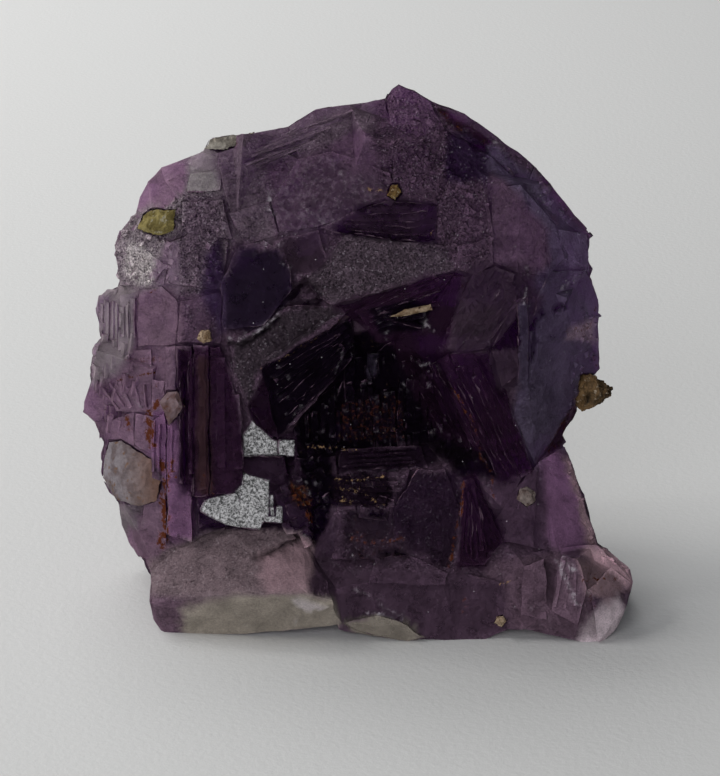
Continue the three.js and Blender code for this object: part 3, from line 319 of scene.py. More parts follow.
    area("pearl", LIGHT, 0.5, 0.07, 0.8, [(-40.4, 38.6), (-40, 53), (-35.8, 54.6), (-33.8, 52.6),
        (-33.4, 44.6), (-36.4, 40)], ribs=(94, 1.6, 0.16)),
    area("lilac", LIGHT, 0.3, 0.02, 0.4, [(-30.8, 34.6), (-31, 28), (-29, 24.6), (-28.2, 15.6),
        (-24.8, 15.6), (-25, 21.6), (-26.9, 24), (-26.9, 33), (-28.6, 35)], clear=0.2),
    area("lavender", PLAIN, 0.45, 0.03, 0.7, [(-36.8, 20.6), (-34.6, 14), (-32, 12), (-28.6, 13.6),
        (-28.8, 22), (-31, 23), (-31, 20.6)]),
    area("pearl", PLAIN, 0.5, 0.02, 0.5, [(-36.4, 20.8), (-35.4, 16.4), (-32.6, 17.2), (-32.6, 20.8)]),
]

# Lines on the front, each (width in mm, strength, points): stains of rust, golden flecks, pale
# bruised edges with painted glints along them, and clefts with painted shade in them.
RUST = [
    (1.1, 1.0, [(-31.4, 34), (-31.2, 32), (-30.8, 29.4)]),
    (0.8, 1.0, [(-29.8, 36.3), (-30.6, 35.2), (-31.2, 34.6)]),
    (1.2, 1.0, [(-29.6, 27), (-28.8, 25), (-29, 23.4), (-29.3, 21), (-28.9, 19), (-28.7, 17),
        (-29.6, 14.4)]),
    (0.3, 0.9, [(-36.4, 39.2), (-33, 39.9), (-30.4, 40.4)]),
    (0.9, 0.5, [(-34.6, 42.4), (-32.4, 42.2), (-30.4, 42.6), (-29, 42)]),
    (0.55, 0.8, [(-34.9, 34), (-34.4, 32.2), (-33.8, 31)]),
    (0.6, 0.45, [(-32.6, 37.6), (-31, 38.2), (-29.8, 38.6)]),
    (0.8, 1.0, [(-27.7, 26.9), (-27.8, 25.7)]),
    (0.3, 1.0, [(-28, 23.7), (-27.2, 24.8)]),
    (0.35, 1.0, [(-26.4, 19.3), (-25.9, 19.1)]),
    (0.3, 1.0, [(-31.2, 52.1), (-30.3, 53)]),
    (1.2, 0.4, [(-23.4, 25.2), (-22.4, 22.6), (-21.6, 22)]),
    (0.7, 0.9, [(-9.8, 23.4), (-8.8, 21.6), (-7.6, 20.4), (-7.2, 18)]),
    (1.3, 0.5, [(31.4, 46), (33, 46.8), (35.2, 47.6)]),
    (0.5, 0.6, [(35.4, 50), (35.6, 48)]),
    (0.6, 0.6, [(35, 43), (36, 40.8)]),
    (0.8, 0.5, [(31, 33), (29.8, 31), (28.4, 28.4)]),
    (0.6, 0.7, [(13.8, 38.4), (15, 37), (16, 35), (17, 33), (17.6, 31.6)]),
    (0.5, 0.6, [(17.6, 31.6), (18.6, 27.6), (20, 25), (20.3, 21)]),
    (0.5, 0.8, [(15.8, 24), (15.4, 19), (14.4, 15), (13.8, 11.5)]),
    (0.9, 0.5, [(-1, 15.5), (3, 15), (6.5, 15.3)]),
    (0.9, 0.5, [(16, 6.2), (15.6, 4.6)]),
    (0.6, 0.7, [(33, 9.2), (36, 9.4), (40, 9.6)]),
    (0.6, 0.6, [(34.6, 6.6), (35.2, 5.2)]),
    (0.5, 0.6, [(12.8, 79.2), (16, 76.4), (19.4, 75)]),
    (0.7, 0.4, [(16, 54.2), (15.6, 51.2)]),
]
GOLD = [
    (0.4, 0.45, [(-14.6, 40.8), (-10, 43.4), (-5.6, 46.2), (-1.6, 48.8)]),
    (0.35, 0.9, [(-7.5, 29.4), (-4, 29.2), (0, 28.6)]),
    (0.4, 0.9, [(-4, 24.6), (0, 24.2), (3.8, 24.8)]),
    (0.5, 0.8, [(-4, 23.2), (0, 22.8), (2.6, 21.2), (4, 20.6)]),
    (0.6, 0.9, [(-3, 21.6), (-1.2, 21.2)]),
    (0.35, 0.9, [(20.8, 8.7), (23, 9)]),
    (0.4, 0.6, [(24.4, 12), (26.6, 12.6)]),
    (0.6, 0.7, [(1.4, 67.9), (4, 67.6), (5.8, 68.3)]),
    (0.4, 0.8, [(11, 61.2), (11.4, 62.2)]),
    (0.6, 0.4, [(-38.4, 51), (-38.6, 48)]),
]
# pale bruised edges, partly painted glints along edges and ridges
BRUISES_AND_GLINTS = [
    (0.5, 1.0, [(-19.6, 45.4), (-18, 45.2), (-16.6, 46.2), (-15, 46.8), (-13.4, 47.9), (-11.8, 49.4),
        (-11, 51)]),
    (0.6, 1.0, [(-13, 67.2), (-13.4, 65.8), (-12.8, 64.2)]),
    (0.6, 0.6, [(-2.6, 71), (-1.8, 68)]),
    (0.6, 0.6, [(-7.8, 65), (-6, 63.4), (-4.8, 62.8), (-2.6, 64)]),
    (0.6, 0.7, [(-14.2, 59.8), (-12, 59.4)]),
    (0.3, 0.7, [(-11.6, 56.8), (-9.8, 55.9)]),
    (0.25, 0.5, [(-3.6, 40.6), (-2.6, 42.4), (-2.6, 43.4)]),
    (0.25, 0.5, [(-4.6, 35.4), (-3.4, 36.2), (-2.8, 38)]),
    (0.3, 0.6, [(-9.8, 34), (-8.6, 35.4)]),
    (0.25, 0.6, [(6.6, 39), (7.3, 37.2)]),
    (0.7, 0.8, [(9.8, 48.4), (11, 46.8)]),
    (0.35, 0.7, [(4.4, 46.4), (4.2, 45.2)]),
    (0.35, 0.8, [(8.6, 42), (9.6, 41.4), (10.8, 41.8)]),
    (0.35, 1.0, [(25.2, 53), (24.9, 50.8)]),
    (0.45, 0.6, [(25.3, 56), (25.6, 55)]),
    (0.4, 0.5, [(-26.2, 67.4), (-22, 67.6)]),
    (0.6, 0.8, [(20.2, 75), (21.6, 74.2)]),
    (0.35, 0.5, [(24.4, 71.4), (24.6, 70.2)]),
    (0.4, 0.5, [(27, 67), (28.6, 65)]),
    (0.4, 0.6, [(-8.8, 4.6), (-9.4, 2.6)]),
    (0.6, 0.6, [(-0.5, 7.8), (2.6, 6.6), (4, 5.2), (7, 3.4)]),
    (0.4, 1.0, [(1, 4.3), (4, 4.1), (6.6, 3.1)]),
    (0.8, 1.0, [(30.2, 12.4), (30.8, 10), (32.4, 7.4), (33, 5.4)]),
    (0.7, 1.0, [(31, 12.8), (32.4, 10.8)]),
    (0.35, 0.8, [(34.6, 9.8), (36, 9.2)]),
    (0.35, 0.7, [(31.4, 4.6), (31.6, 3.6)]),
    (0.35, 0.7, [(33.6, 8.6), (34.6, 7.2)]),
    (0.35, 0.4, [(27, 6), (28.6, 3.4)]),
    (0.35, 0.4, [(25.6, 6), (26.8, 3.6)]),
    (0.35, 1.0, [(-0.9, 13.4), (-0.7, 12.6)]),
    (0.3, 1.0, [(-33.1, 35.9), (-32.6, 35.2)]),
    (0.3, 0.5, [(-39, 37.6), (-34, 36.4), (-31, 36.2)]),
    (0.6, 0.5, [(33.8, 55), (30.6, 53)]),
    (0.18, 0.6, [(22.6, 29.4), (24.4, 29.8), (26.4, 29.2)]),
    (0.25, 0.5, [(-10, 25.6), (-9, 24.2), (-7.6, 24), (-7.2, 22)]),
    (0.25, 0.3, [(0, 25.6), (5, 25.8), (10, 26)]),
]
# clefts, sunk a little and darkened with painted shade
SHADED_CLEFTS = [
    (1.1, 1.0, [(-11.6, 50.4), (-9.6, 52.4), (-8, 54), (-6.6, 52.6), (-5.6, 51.2)]),
    (0.9, 1.0, [(-10.4, 50.8), (-6, 50.8)]),
    (0.5, 0.9, [(-20, 44.8), (-17.6, 44.6), (-15, 46), (-12, 48.4)]),
    (0.6, 0.8, [(-15.2, 12.6), (-12, 13.8), (-9, 15.5)]),
    (0.8, 1.0, [(3.4, 13), (5, 13.4), (7.4, 13)]),
    (0.7, 1.0, [(0.2, 13.2), (1.4, 12.8)]),
    (0.8, 1.0, [(2.0, 19.2), (4.2, 19)]),
    (0.8, 0.9, [(26, 47), (27.4, 49.2)]),
    (0.7, 0.9, [(25.9, 42.4), (26.6, 45.6)]),
    (0.5, 0.7, [(0, 64.9), (4, 65.9), (9, 65.6)]),
    (0.8, 0.7, [(-3.4, 62), (4, 60.6), (11, 60.4)]),
    (0.35, 0.9, [(-17.4, 27.8), (-9.4, 27.6)]),
    (0.4, 0.9, [(-10.8, 27.5), (-10.4, 24)]),
    (1.2, 0.6, [(-24.2, 20), (-22.6, 17.4), (-20, 17)]),
    (0.7, 0.9, [(31, 50.8), (29.6, 50)]),
    (0.7, 1.0, [(17.2, 74.4), (18.6, 74.2)]),
    (1.4, 0.4, [(-20.4, 55), (-20.2, 60)]),
    (1.4, 0.8, [(-26.3, 43.6), (-26.2, 23)]),
    (0.45, 0.7, [(-24.8, 44.4), (-24.7, 22)]),
    (0.35, 0.5, [(-22.2, 33), (-22.3, 27)]),
    (0.45, 0.5, [(-20, 70.4), (-14, 73.4), (-6, 75.6), (0, 77)]),
    (0.35, 0.4, [(-18, 69.6), (-13, 71.8), (-9, 73.4)]),
    (0.4, 0.5, [(20, 72.4), (24, 69.6), (27.6, 66)]),
]
TRACES = {"rust": RUST, "gold": GOLD, "cloud": BRUISES_AND_GLINTS, "dark": SHADED_CLEFTS}

# ---------- mesh helpers

SAME_CORNER = 0.0005  # corners of a CAD shape that are nearer than this, in mm, are one
MOST_HALVINGS = 9
BOX_FACES = [(0, 1, 3, 2), (4, 6, 7, 5), (0, 4, 5, 1), (2, 3, 7, 6), (0, 2, 6, 4), (1, 5, 7, 3)]

details = bpy.data.collections.new("details")
bpy.context.scene.collection.children.link(details)


def clean_copy(node):
    """A bmesh of a CAD node's shape, in mm, in triangles with their shared corners merged."""
    bm = bmesh.new()
    bm.from_mesh(frame["nodes"][node].data)
    bmesh.ops.scale(bm, vec=Vector((1 / MM,) * 3), verts=bm.verts)
    bmesh.ops.remove_doubles(bm, verts=bm.verts, dist=SAME_CORNER)
    bmesh.ops.triangulate(bm, faces=bm.faces)
    return bm


def make_object(name, bm, scale=1.0, collection=bpy.context.scene.collection):
    """A linked object from a bmesh, which is freed."""
    if scale != 1.0:
        bmesh.ops.scale(bm, vec=Vector((scale,) * 3), verts=bm.verts)
    mesh = bpy.data.meshes.new(name)
    bm.to_mesh(mesh)
    bm.free()
    made = bpy.data.objects.new(name, mesh)
    collection.objects.link(made)
    return made


def add_box(name, corners):
    """A closed box among the details, from corners ordered by end, side and height."""
    bm = bmesh.new()
    verts = [bm.verts.new(c) for c in corners]
    for face in BOX_FACES:
        bm.faces.new([verts[i] for i in face])
    bmesh.ops.recalc_face_normals(bm, faces=bm.faces)
    make_object(name, bm, collection=details)


def into_triangles(bm):
    bmesh.ops.triangulate(bm, faces=[f for f in bm.faces if len(f.verts) > 3])


def drop_flaps(bm):
    """Deletes the faces of no thickness that splitting very thin triangles leaves behind."""
    twins = {}
    for face in bm.faces:
        twins.setdefault(frozenset(face.verts), []).append(face)
    # two faces on the same corners are a flap; of three, one belongs to the surface
    loose = [face for faces in twins.values() if len(faces) > 1
             for face in faces[len(faces) % 2:]]
    while loose:
        bmesh.ops.delete(bm, geom=loose, context="FACES")
        # next come the faces that hang from an edge of the surface by themselves
        loose = []
        for face in bm.faces:
            shared = [len(edge.link_faces) for edge in face.edges]
            if min(shared) == 1 and sum(k > 2 for k in shared) >= shared.count(2):
                loose.append(face)
    bmesh.ops.delete(bm, geom=[edge for edge in bm.edges if edge.is_wire], context="EDGES")


def split_long_edges(bm, limit_of):
    """Cuts edges in half until each is shorter than the limit at its middle."""
    for _ in range(MOST_HALVINGS):
        long_edges = [e for e in bm.edges
                      if e.calc_length() > limit_of((e.verts[0].co + e.verts[1].co) / 2)]
        if not long_edges:
            break
        bmesh.ops.subdivide_edges(bm, edges=long_edges, cuts=1, use_grid_fill=False)
        into_triangles(bm)
    drop_flaps(bm)


def turned(degrees):
    """The rotation by those angles about X, then Y, then Z."""
    x, y, z = [math.radians(angle) for angle in degrees]
    return Matrix.Rotation(z, 3, "Z") @ Matrix.Rotation(y, 3, "Y") @ Matrix.Rotation(x, 3, "X")


# ---------- fine crystals on the mass

mass_bm = clean_copy("fluorite_mass")
surface = BVHTree.FromBMesh(mass_bm)


def on_surface(across, up):
    """Where the line of sight through that place meets the stone, and the face's normal."""
    ray = (on_plane(across, up) - EYE).normalized()
    place, normal, _, _ = surface.ray_cast(EYE, ray)
    return place, normal


def level_from(azimuth):
    """Like on_surface, along level lines from another side, in degrees from the front."""
    angle = math.radians(azimuth)
    out = Vector((math.sin(angle), -math.cos(angle), 0))
    side = Vector((math.cos(angle), math.sin(angle), 0))

    def meet(across, height):
        start = out * 100 + side * across + Vector((0, 0, height))
        place, normal, _, _ = surface.ray_cast(start, -out)
        return place, normal

    return meet


def ledge(start, end, width, height, lean):
    """A slender ridge grown along the surface from one place to another."""
    a, na = on_surface(*start)
    b, nb = on_surface(*end)
    if a is None or b is None:
        return
    along = (b - a).normalized()
    out = (na + nb).normalized()
    side = along.cross(out).normalized()
    sunk = -1.2
    corners = []
    for place in (a, b):
        for s in (-0.5, 0.5):
            for h in (sunk, height * (1 + lean * s)):
                corners.append(place + side * s * width + out * h)
    add_box("ledge", corners)


def flight(first, last, count, width, height, lean=0.0):
    """Ridges between two lines on the surface, each ((across, up), (across, up))."""
    for i in range(count):
        t = (i + random.uniform(-0.15, 0.15)) / (count - 1)
        start = [p + (q - p) * t for p, q in zip(first[0], last[0])]
        end = [p + (q - p) * t for p, q in zip(first[1], last[1])]
        a, b = random.uniform(0, 0.18), random.uniform(0.8, 1)
        ends = [[s + (e - s) * k for s, e in zip(start, end)] for k in (a, b)]
        ledge(ends[0], ends[1], width * random.uniform(0.6, 1.3),
              height * random.uniform(0.4, 1.3), lean)


def crystal(place, normal, size, turn, stretch):
    """A small blocky crystal half sunk in the surface."""
    centre = place + normal * size * random.uniform(-0.28, 0.06)
    half = [size * k * random.uniform(0.7, 1.2) / 2 for k in stretch]
    add_box("cube", [centre + turn @ Vector((x * half[0], y * half[1], z * half[2]))
                     for x in (-1, 1) for y in (-1, 1) for z in (-1, 1)])


def crystals(outline, count, sizes, turn, jitter, stretch=(1, 1, 1), meet=on_surface):
    """Small crystals scattered over an area, nearly parallel to each other.

    sizes are the smallest and largest edge in mm, turn their rotation and jitter how far each
    strays from it, in degrees, and meet finds the surface."""
    xs, ys = zip(*outline)
    placed = 0
    while placed < count:
        spot = (random.uniform(min(xs), max(xs)), random.uniform(min(ys), max(ys)))
        if not inside(np.array([spot]), outline)[0]:
            continue
        placed += 1
        place, normal = meet(*spot)
        if place is None:
            continue
        rotation = turned([angle + random.gauss(0, jitter) for angle in turn])
        size = sizes[0] + (sizes[1] - sizes[0]) * random.random() ** 2
        crystal(place, normal, size, rotation, stretch)


# Ledges of the black striated face, the ramp and the fan.
flight(((-13.6, 40.4), (-1.6, 47.6)), ((-10.8, 32), (-0.8, 43.6)), 11, 0.7, 0.35, 0.9)
flight(((-13.8, 41.6), (-2, 48.9)), ((-14, 42.2), (-3, 49.6)), 3, 0.5, 0.5)
flight(((0, 50.4), (14, 56)), ((2, 47.2), (12, 50)), 8, 0.6, 0.4, 0.8)
flight(((1, 50.2), (10, 51.6)), ((3, 49), (11, 47.4)), 4, 0.5, 0.5, 0.8)
flight(((13.4, 46), (19.6, 56)), ((20, 43.6), (26.4, 52)), 6, 0.6, 0.2, 0.7)
flight(((11.6, 42), (21, 24.4)), ((19.4, 43.6), (26, 26.6)), 10, 0.7, 0.45, 0.8)
flight(((7, 43), (14, 29)), ((11, 43.6), (19, 28)), 6, 0.7, 0.5, 0.8)
# Ribs of the wedge, the prisms and the blades.
flight(((15.4, 12), (16.4, 23.6)), ((19.6, 12.4), (17.4, 23.6)), 6, 0.5, 0.3, 0.8)
flight(((-26.4, 23), (-26.4, 43.8)), ((-23.4, 22.6), (-23.6, 43.6)), 3, 1.0, 0.35, 0.6)
flight(((-20.4, 24), (-20.6, 43)), ((-18.2, 24), (-18.6, 38)), 2, 1.4, 0.3, 0.5)
flight(((-38.4, 45), (-38.2, 51)), ((-33.6, 44.6), (-33.8, 52)), 7, 0.7, 0.4, 0.6)
flight(((-36, 34.8), (-39.6, 39.6)), ((-31.6, 34.8), (-32, 39)), 5, 0.7, 0.4, 0.6)
flight(((-30.6, 25), (-30.6, 33.6)), ((-27.2, 24), (-27.2, 33.4)), 5, 0.6, 0.4, 0.6)
# Level ledges under the V.
flight(((-2.8, 25.4), (9.6, 26.4)), ((-2.6, 28.6), (9.2, 29)), 5, 0.6, 0.45)
flight(((-1.2, 22.8), (7, 22.8)), ((-0.4, 25.4), (7.8, 26)), 4, 0.6, 0.5)
# Upright steps in the depth of the V.
flight(((-3, 30), (-3, 36)), ((10, 30), (10, 41)), 12, 0.8, 0.7)
flight(((-9, 30.4), (-9, 33.4)), ((-4, 30), (-4, 37.6)), 5, 0.8, 0.6)
# Curved bands of the crescent.
flight(((-4, 62), (11, 61)), ((-1, 64.6), (11.6, 65)), 4, 0.8, 0.4, 0.8)
# Long low ridges of the dome and of the right flank.
flight(((-20, 69), (-9, 73.6)), ((-14, 75), (0, 80)), 9, 0.5, 0.14, 0.8)
flight(((20.6, 73), (32, 60.4)), ((21, 68), (28, 60)), 4, 0.5, 0.12, 0.8)
# Streaks of the foot.
flight(((29.6, 5), (31, 12.4)), ((33.8, 4), (33.4, 11.6)), 4, 0.5, 0.2, 0.8)

# The peak with its sparkling band, and the upper left.
crystals([(4.6, 69), (4.6, 82), (6.4, 83), (12.6, 80), (14.4, 70), (19.4, 67.6), (20.2, 57.4),
    (15.2, 56.4), (12.2, 61), (12, 67)], 230, (0.4, 1.1), (20, 30, 10), 16)
crystals([(-38, 53.6), (-37, 62), (-33, 64), (-26, 67), (-20.4, 68), (-19.6, 60),
    (-20.6, 54)], 260, (0.35, 1.1), (12, 22, 34), 16)
# The depth of the V, and the faces below it.
crystals([(-11, 17), (-11, 29), (-4, 29.6), (-3, 20.6), (-6.6, 14.6)], 60, (0.7, 1.8),
    (4, -20, 6), 2, (1, 1, 1.4))
crystals([(-9, 29.6), (-3, 38), (3, 43), (10, 42), (16, 30), (4, 29)], 110, (0.6, 1.5),
    (4, -6, 4), 3, (0.7, 1, 2.4))
crystals([(-2.6, 12.8), (-2, 20), (5, 20), (5, 26), (-2.6, 26)], 70, (0.5, 1.4),
    (6, 10, -12), 6, (1.6, 1, 0.8))
crystals([(5.2, 12), (6, 20), (9, 25.6), (12.6, 25.6), (15, 19), (15, 12)], 24, (0.3, 0.6),
    (8, -14, 20), 5)
# The left edge, and the rim of the right flank from the top down.
crystals([(-40.4, 31), (-40.6, 41), (-38, 52), (-33.4, 52), (-33, 36), (-37, 31)], 45,
    (0.5, 1.2), (4, 5, 24), 3, (0.9, 1, 2.6))
crystals([(12, 80.4), (20, 76.4), (30, 67.4), (35, 61.2), (33.6, 60), (24, 70), (16, 77)],
    25, (0.4, 0.9), (30, 10, 40), 20)
crystals([(30.6, 28), (30, 31), (33.6, 36), (36, 44), (36, 49), (34, 50), (31.6, 36),
    (28.6, 28)], 40, (0.4, 1.0), (30, 10, 40), 20)
crystals([(32, 28), (36, 16), (41, 12), (41, 9), (35, 14), (31, 26)], 40, (0.4, 0.9),
    (30, 10, 40), 20)
# Smaller crystals on the faces of the back, clear of its outline.
for azimuth in (162, 180, 198):
    crystals([(-17, 7), (-17, 40), (-9, 52), (9, 52), (17, 40), (17, 7)], 12, (2.5, 7.0),
             (6, -9, 5), 2, (1.3, 0.8, 1.3), level_from(azimuth))

# ---------- growing the mass

MERGE, SLIVER = 0.02, 0.07  # corners and edges shorter than this are merged
FINE, COARSE = 1.1, 3.2  # length allowed to an edge, in the middle of the front and behind
FINE_TRACE, FINE_PAINTED_REFLECTION = 0.5, 0.28  # the same along stains and round the silvery faces with their painted reflection
MIDDLE = Vector((4, -12, 36))  # the striated faces are around here

base = make_object("mass_base", mass_bm)
grow = base.modifiers.new("grow", "BOOLEAN")
grow.operation = "UNION"
grow.operand_type = "COLLECTION"
grow.collection = details
grow.solver = "MANIFOLD"
grown = bmesh.new()
grown.from_mesh(base.evaluated_get(bpy.context.evaluated_depsgraph_get()).data)
for thing in list(details.objects) + [base]:
    bpy.data.meshes.remove(thing.data)
bpy.data.collections.remove(details)


def mesh_size(place):
    """Length allowed to an edge: finest in the middle of the front, coarse at the back."""
    away = max(0.0, (place - MIDDLE).length - 22)
    return min(COARSE, FINE + 0.04 * away + max(0.0, place.y - 1) * 0.12)


def facing_front(bm):
    """Positions, normals, and how squarely each vertex faces the standpoint, 0 to 1."""
    bm.normal_update()
    spots = np.array([v.co for v in bm.verts])
    out = np.array([v.normal for v in bm.verts])
    to_eye = np.array(EYE) - spots
    to_eye /= np.linalg.norm(to_eye, axis=1)[:, None]
    return spots, out, np.clip(((out * to_eye).sum(axis=1) - 0.02) / 0.3, 0, 1)


def refine(lines, limit):
    """Cuts the edges that lie along those lines until they are shorter than the limit.

    Each line is (distance it reaches to, points)."""
    for _ in range(5):
        places, _, facing = facing_front(grown)
        layout = layout_of(places)
        near = np.zeros(len(places), bool)
        for reach, points in lines:
            near |= along_line(layout, points, 2.0) < reach
        near &= (facing > 0) & (places[:, 1] < 12)
        grown.verts.index_update()
        long_edges = [e for e in grown.edges if near[e.verts[0].index] | near[e.verts[1].index]
                      and e.calc_length() > limit]
        if not long_edges:
            break
        bmesh.ops.subdivide_edges(grown, edges=long_edges, cuts=1)
        into_triangles(grown)


bmesh.ops.triangulate(grown, faces=grown.faces)
bmesh.ops.remove_doubles(grown, verts=grown.verts, dist=MERGE)
bmesh.ops.dissolve_degenerate(grown, edges=grown.edges, dist=MERGE)
into_triangles(grown)
# the edges inside flat faces are turned, so that the triangles are not slivers
flat = [e for e in grown.edges if e.is_manifold and e.calc_face_angle(1.0) < 0.01]
bmesh.ops.beautify_fill(grown, faces=grown.faces, edges=flat, method="ANGLE")
split_long_edges(grown, mesh_size)
bmesh.ops.dissolve_degenerate(grown, edges=grown.edges, dist=SLIVER)
into_triangles(grown)
refine([(width * 0.5 + 0.1, points) for width, _, points in RUST + GOLD + BRUISES_AND_GLINTS], FINE_TRACE)
refine([(0.25, outline + outline[:1]) for *_, outline, extras in AREAS if "mirror" in extras],
       FINE_PAINTED_REFLECTION)
drop_flaps(grown)

# ---------- patterns on the mass

places, normals, facing = facing_front(grown)
verts = list(grown.verts)
count = len(verts)
layout = layout_of(places)
front = np.clip(facing * 6, 0, 1)


def field(scale, offset=0.0):
    """Smooth noise, about -1 to 1, at each vertex; scale is in mm."""
    shift = Vector((offset, offset * 1.7, -offset))
    return np.array([noise.noise(Vector(p) / scale + shift) for p in places])


def drift(amount, scale, *offsets):
    """A smooth wandering in as many directions as there are offsets."""
    return np.stack([field(scale, offset) for offset in offsets], axis=1) * amount


def cells(scale, turn):
    """One random value for each little cube of a lattice turned like the crystals."""
    lattice = places @ np.array(turned(turn)) / scale
    return np.array([noise.cell(Vector(p)) for p in lattice])


def crispness():
    """Above 0 along outer edges and below 0 in clefts, for each vertex."""
    pairs = np.array([(e.verts[0].index, e.verts[1].index) for e in grown.edges])
    a, b = pairs[:, 0], pairs[:, 1]
    step = places[a] - places[b]
    length = np.maximum(np.linalg.norm(step, axis=1), 1e-6)
    bend = ((normals[a] - normals[b]) * step).sum(axis=1) / length
    total = np.bincount(a, bend, count) + np.bincount(b, bend, count)
    return total / np.maximum(np.bincount(a, None, count) + np.bincount(b, None, count), 1)


grown.verts.index_update()
crisp = crispness()
broad, medium, small, tiny = field(9.0), field(2.6, 3.0), field(0.9, 7.0), field(0.45, 11.0)
blocks = cells(1.5, (12, 22, 34)) - 0.5
blocks_fine = cells(0.8, (20, 30, 10)) - 0.5
sway = drift(0.6, 3.4, 21.0, 27.0) + drift(0.2, 0.9, 33.0, 37.0)

# What the sides and the back look like; the areas are painted over it.
back_mix = np.clip(0.5 + 1.3 * broad, 0, 1)[:, None]
tone = np.array(TONES["plum"]) * (1 - back_mix) + np.array(TONES["lavender"]) * 0.8 * back_mix
channels = {
    "frost": 0.5 + 0.3 * broad + 0.25 * medium,
    "grain": np.full(count, 0.1),
    "rust": np.clip(field(6.0, 40.0) - 0.15, 0, 1),
    "gold": np.zeros(count),
    "clear": np.zeros(count),
    "mirror": np.zeros(count),
    "cloud": np.clip(field(7.0, 50.0) - 0.2, 0, 1),
    "cubes": np.full(count, 0.35),
    "relief": np.zeros(count),
    "straight": np.zeros(count),
    "dark": np.zeros(count),
}


def blend(name, weight, value):
    channels[name] = channels[name] * (1 - weight) + value * weight


def ribs_of(extras):
    """Saw-toothed relief of an area with parallel or spreading ribs."""
    if "ribs" in extras:
        direction, spacing, height = extras["ribs"]
        across = math.radians(direction + 90)
        t = (layout[:, 0] * math.cos(across) + layout[:, 1] * math.sin(across)) / spacing
    elif "rays" in extras:
        centre, spacing, height = extras["rays"]
        t = np.degrees(np.arctan2(layout[:, 1] - centre[1], layout[:, 0] - centre[0])) / spacing
    else:
        return 0.0
    t = t + 0.5 * broad + 0.25 * medium
    step = t - np.floor(t)
    # each rib has a height of its own
    weight = 0.5 + 0.5 * np.sin(np.floor(t) * 12.9898) * np.cos(np.floor(t) * 4.1)
    return height * (0.5 - step) * (0.5 + weight)


for name, step, frost, grain, soft, outline, extras in AREAS:
    wander = layout + sway * (0 if "mirror" in extras else min(0.8, soft + 0.1))
    reach = along_line(wander, outline + outline[:1])
    reach = np.where(inside(wander, outline), reach, -reach)
    weight = np.clip(0.5 + reach / soft, 0, 1) * front
    weight = weight * weight * (3 - 2 * weight)
    colour = np.array(TONES[name]) * step
    tone = tone * (1 - weight[:, None]) + colour * weight[:, None]
    blend("frost", weight, frost)
    blend("grain", weight, grain)
    blend("cubes", weight, extras.get("cubes", 0.25 if grain > 0.07 else 0.0))
    blend("relief", weight, ribs_of(extras))
    blend("straight", weight, 0.9 if {"ribs", "rays", "mirror"} & set(extras) else 0.4)
    for key in ("rust", "gold", "clear", "mirror", "cloud"):
        blend(key, weight, extras.get(key, 0.0))

for channel, lines in TRACES.items():
    for width, strength, points in lines:
        spread = width * (0.62 + 0.5 * small)
        reach = along_line(layout + sway * 0.35, points, 2.5)
        weight = np.clip(1.4 - reach / np.maximum(spread, 0.08), 0, 1) * front * strength
        weight *= np.clip(0.9 + 1.2 * small + 0.6 * tiny, 0, 1)
        if channel == "gold":
            weight *= 1.6
        channels[channel] = np.maximum(channels[channel], weight)
# how much painted shade the clefts lay on each vertex
dark = channels["dark"]

# Painted glints on the sharp ridges, broken up like chips, mostly in the dark striated depth.
ridge_glints = np.clip(crisp * 2.4 - 0.35, 0, 1) * np.clip(2.4 * tiny + 1.2 * small + 0.1, 0, 1) * front
ridge_glints *= np.where(channels["clear"] < -1, 0.5, 0.15)
channels["cloud"] = np.maximum(channels["cloud"], ridge_glints)

# ---------- relief of the mass

off_ground = np.clip((places[:, 2] - 0.2) / 1.2, 0, 1)  # the underside stays flat
# roughness, little blocks, ribs, clefts, and edges that are worn in places, in mm
lift = channels["grain"] * (0.45 * small + 0.25 * tiny + 0.4 * medium)
lift += channels["cubes"] * channels["grain"] * 2.2 * (blocks + 0.6 * blocks_fine)
lift += channels["relief"] * facing
lift += 0.05 * medium - 0.2 * dark
lift -= 0.5 * np.clip(crisp * 1.4, 0, 1) * np.clip(0.25 + small + 0.5 * medium, 0, 1)
lift *= off_ground
wander = drift(0.4, 3.0, 61.0, 67.0, 73.0) + drift(0.15, 1.2, 81.0, 87.0, 93.0)
wander *= (off_ground * (1 - channels["straight"]))[:, None]
# nothing reaches past the box of the CAD solids
MARGIN = 0.03
low = np.array(cad_low) / MM + MARGIN
high = np.array(cad_high) / MM - MARGIN
low[2] = 0.0
for v, place in zip(verts, np.clip(places + wander + normals * lift[:, None], low, high)):
    v.co = place

mass = make_object("fluorite", grown, MM)
mass.data.polygons.foreach_set("use_smooth", [False] * len(mass.data.polygons))


def store(name, *columns):
    """Keeps three values a vertex for the material to read."""
    layer = mass.data.color_attributes.new(name, "FLOAT_COLOR", "POINT")
    values = np.ones((count, 4), np.float32)
    for k, column in enumerate(columns):
        values[:, k] = column
    layer.data.foreach_set("color", values.ravel())


# Painted highlight along outer edges, painted shade in creases and strong painted shade along the clefts,
# with a little random change, all baked into the tone.
edge = np.clip(crisp * 1.6, 0, 1)
crease_shade = np.clip(-crisp * 1.6, 0, 1)
shade = (1 + 0.25 * medium + 0.15 * small) * (1 + 0.6 * edge) * (1 - 0.25 * crease_shade)
shade *= 1 - 0.9 * dark
tone = np.maximum(tone, 0) * np.maximum(shade, 0.05)[:, None]
store("tone", tone[:, 0], tone[:, 1], tone[:, 2])
store("finish", channels["frost"] * (1 - 0.6 * dark), channels["rust"], channels["gold"])
store("extra", channels["clear"], channels["mirror"], np.clip(channels["cloud"], 0, 1))
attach(mass, "root")
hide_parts("fluorite_mass")

# ---------- materials

FLUORITE_IOR = 1.434


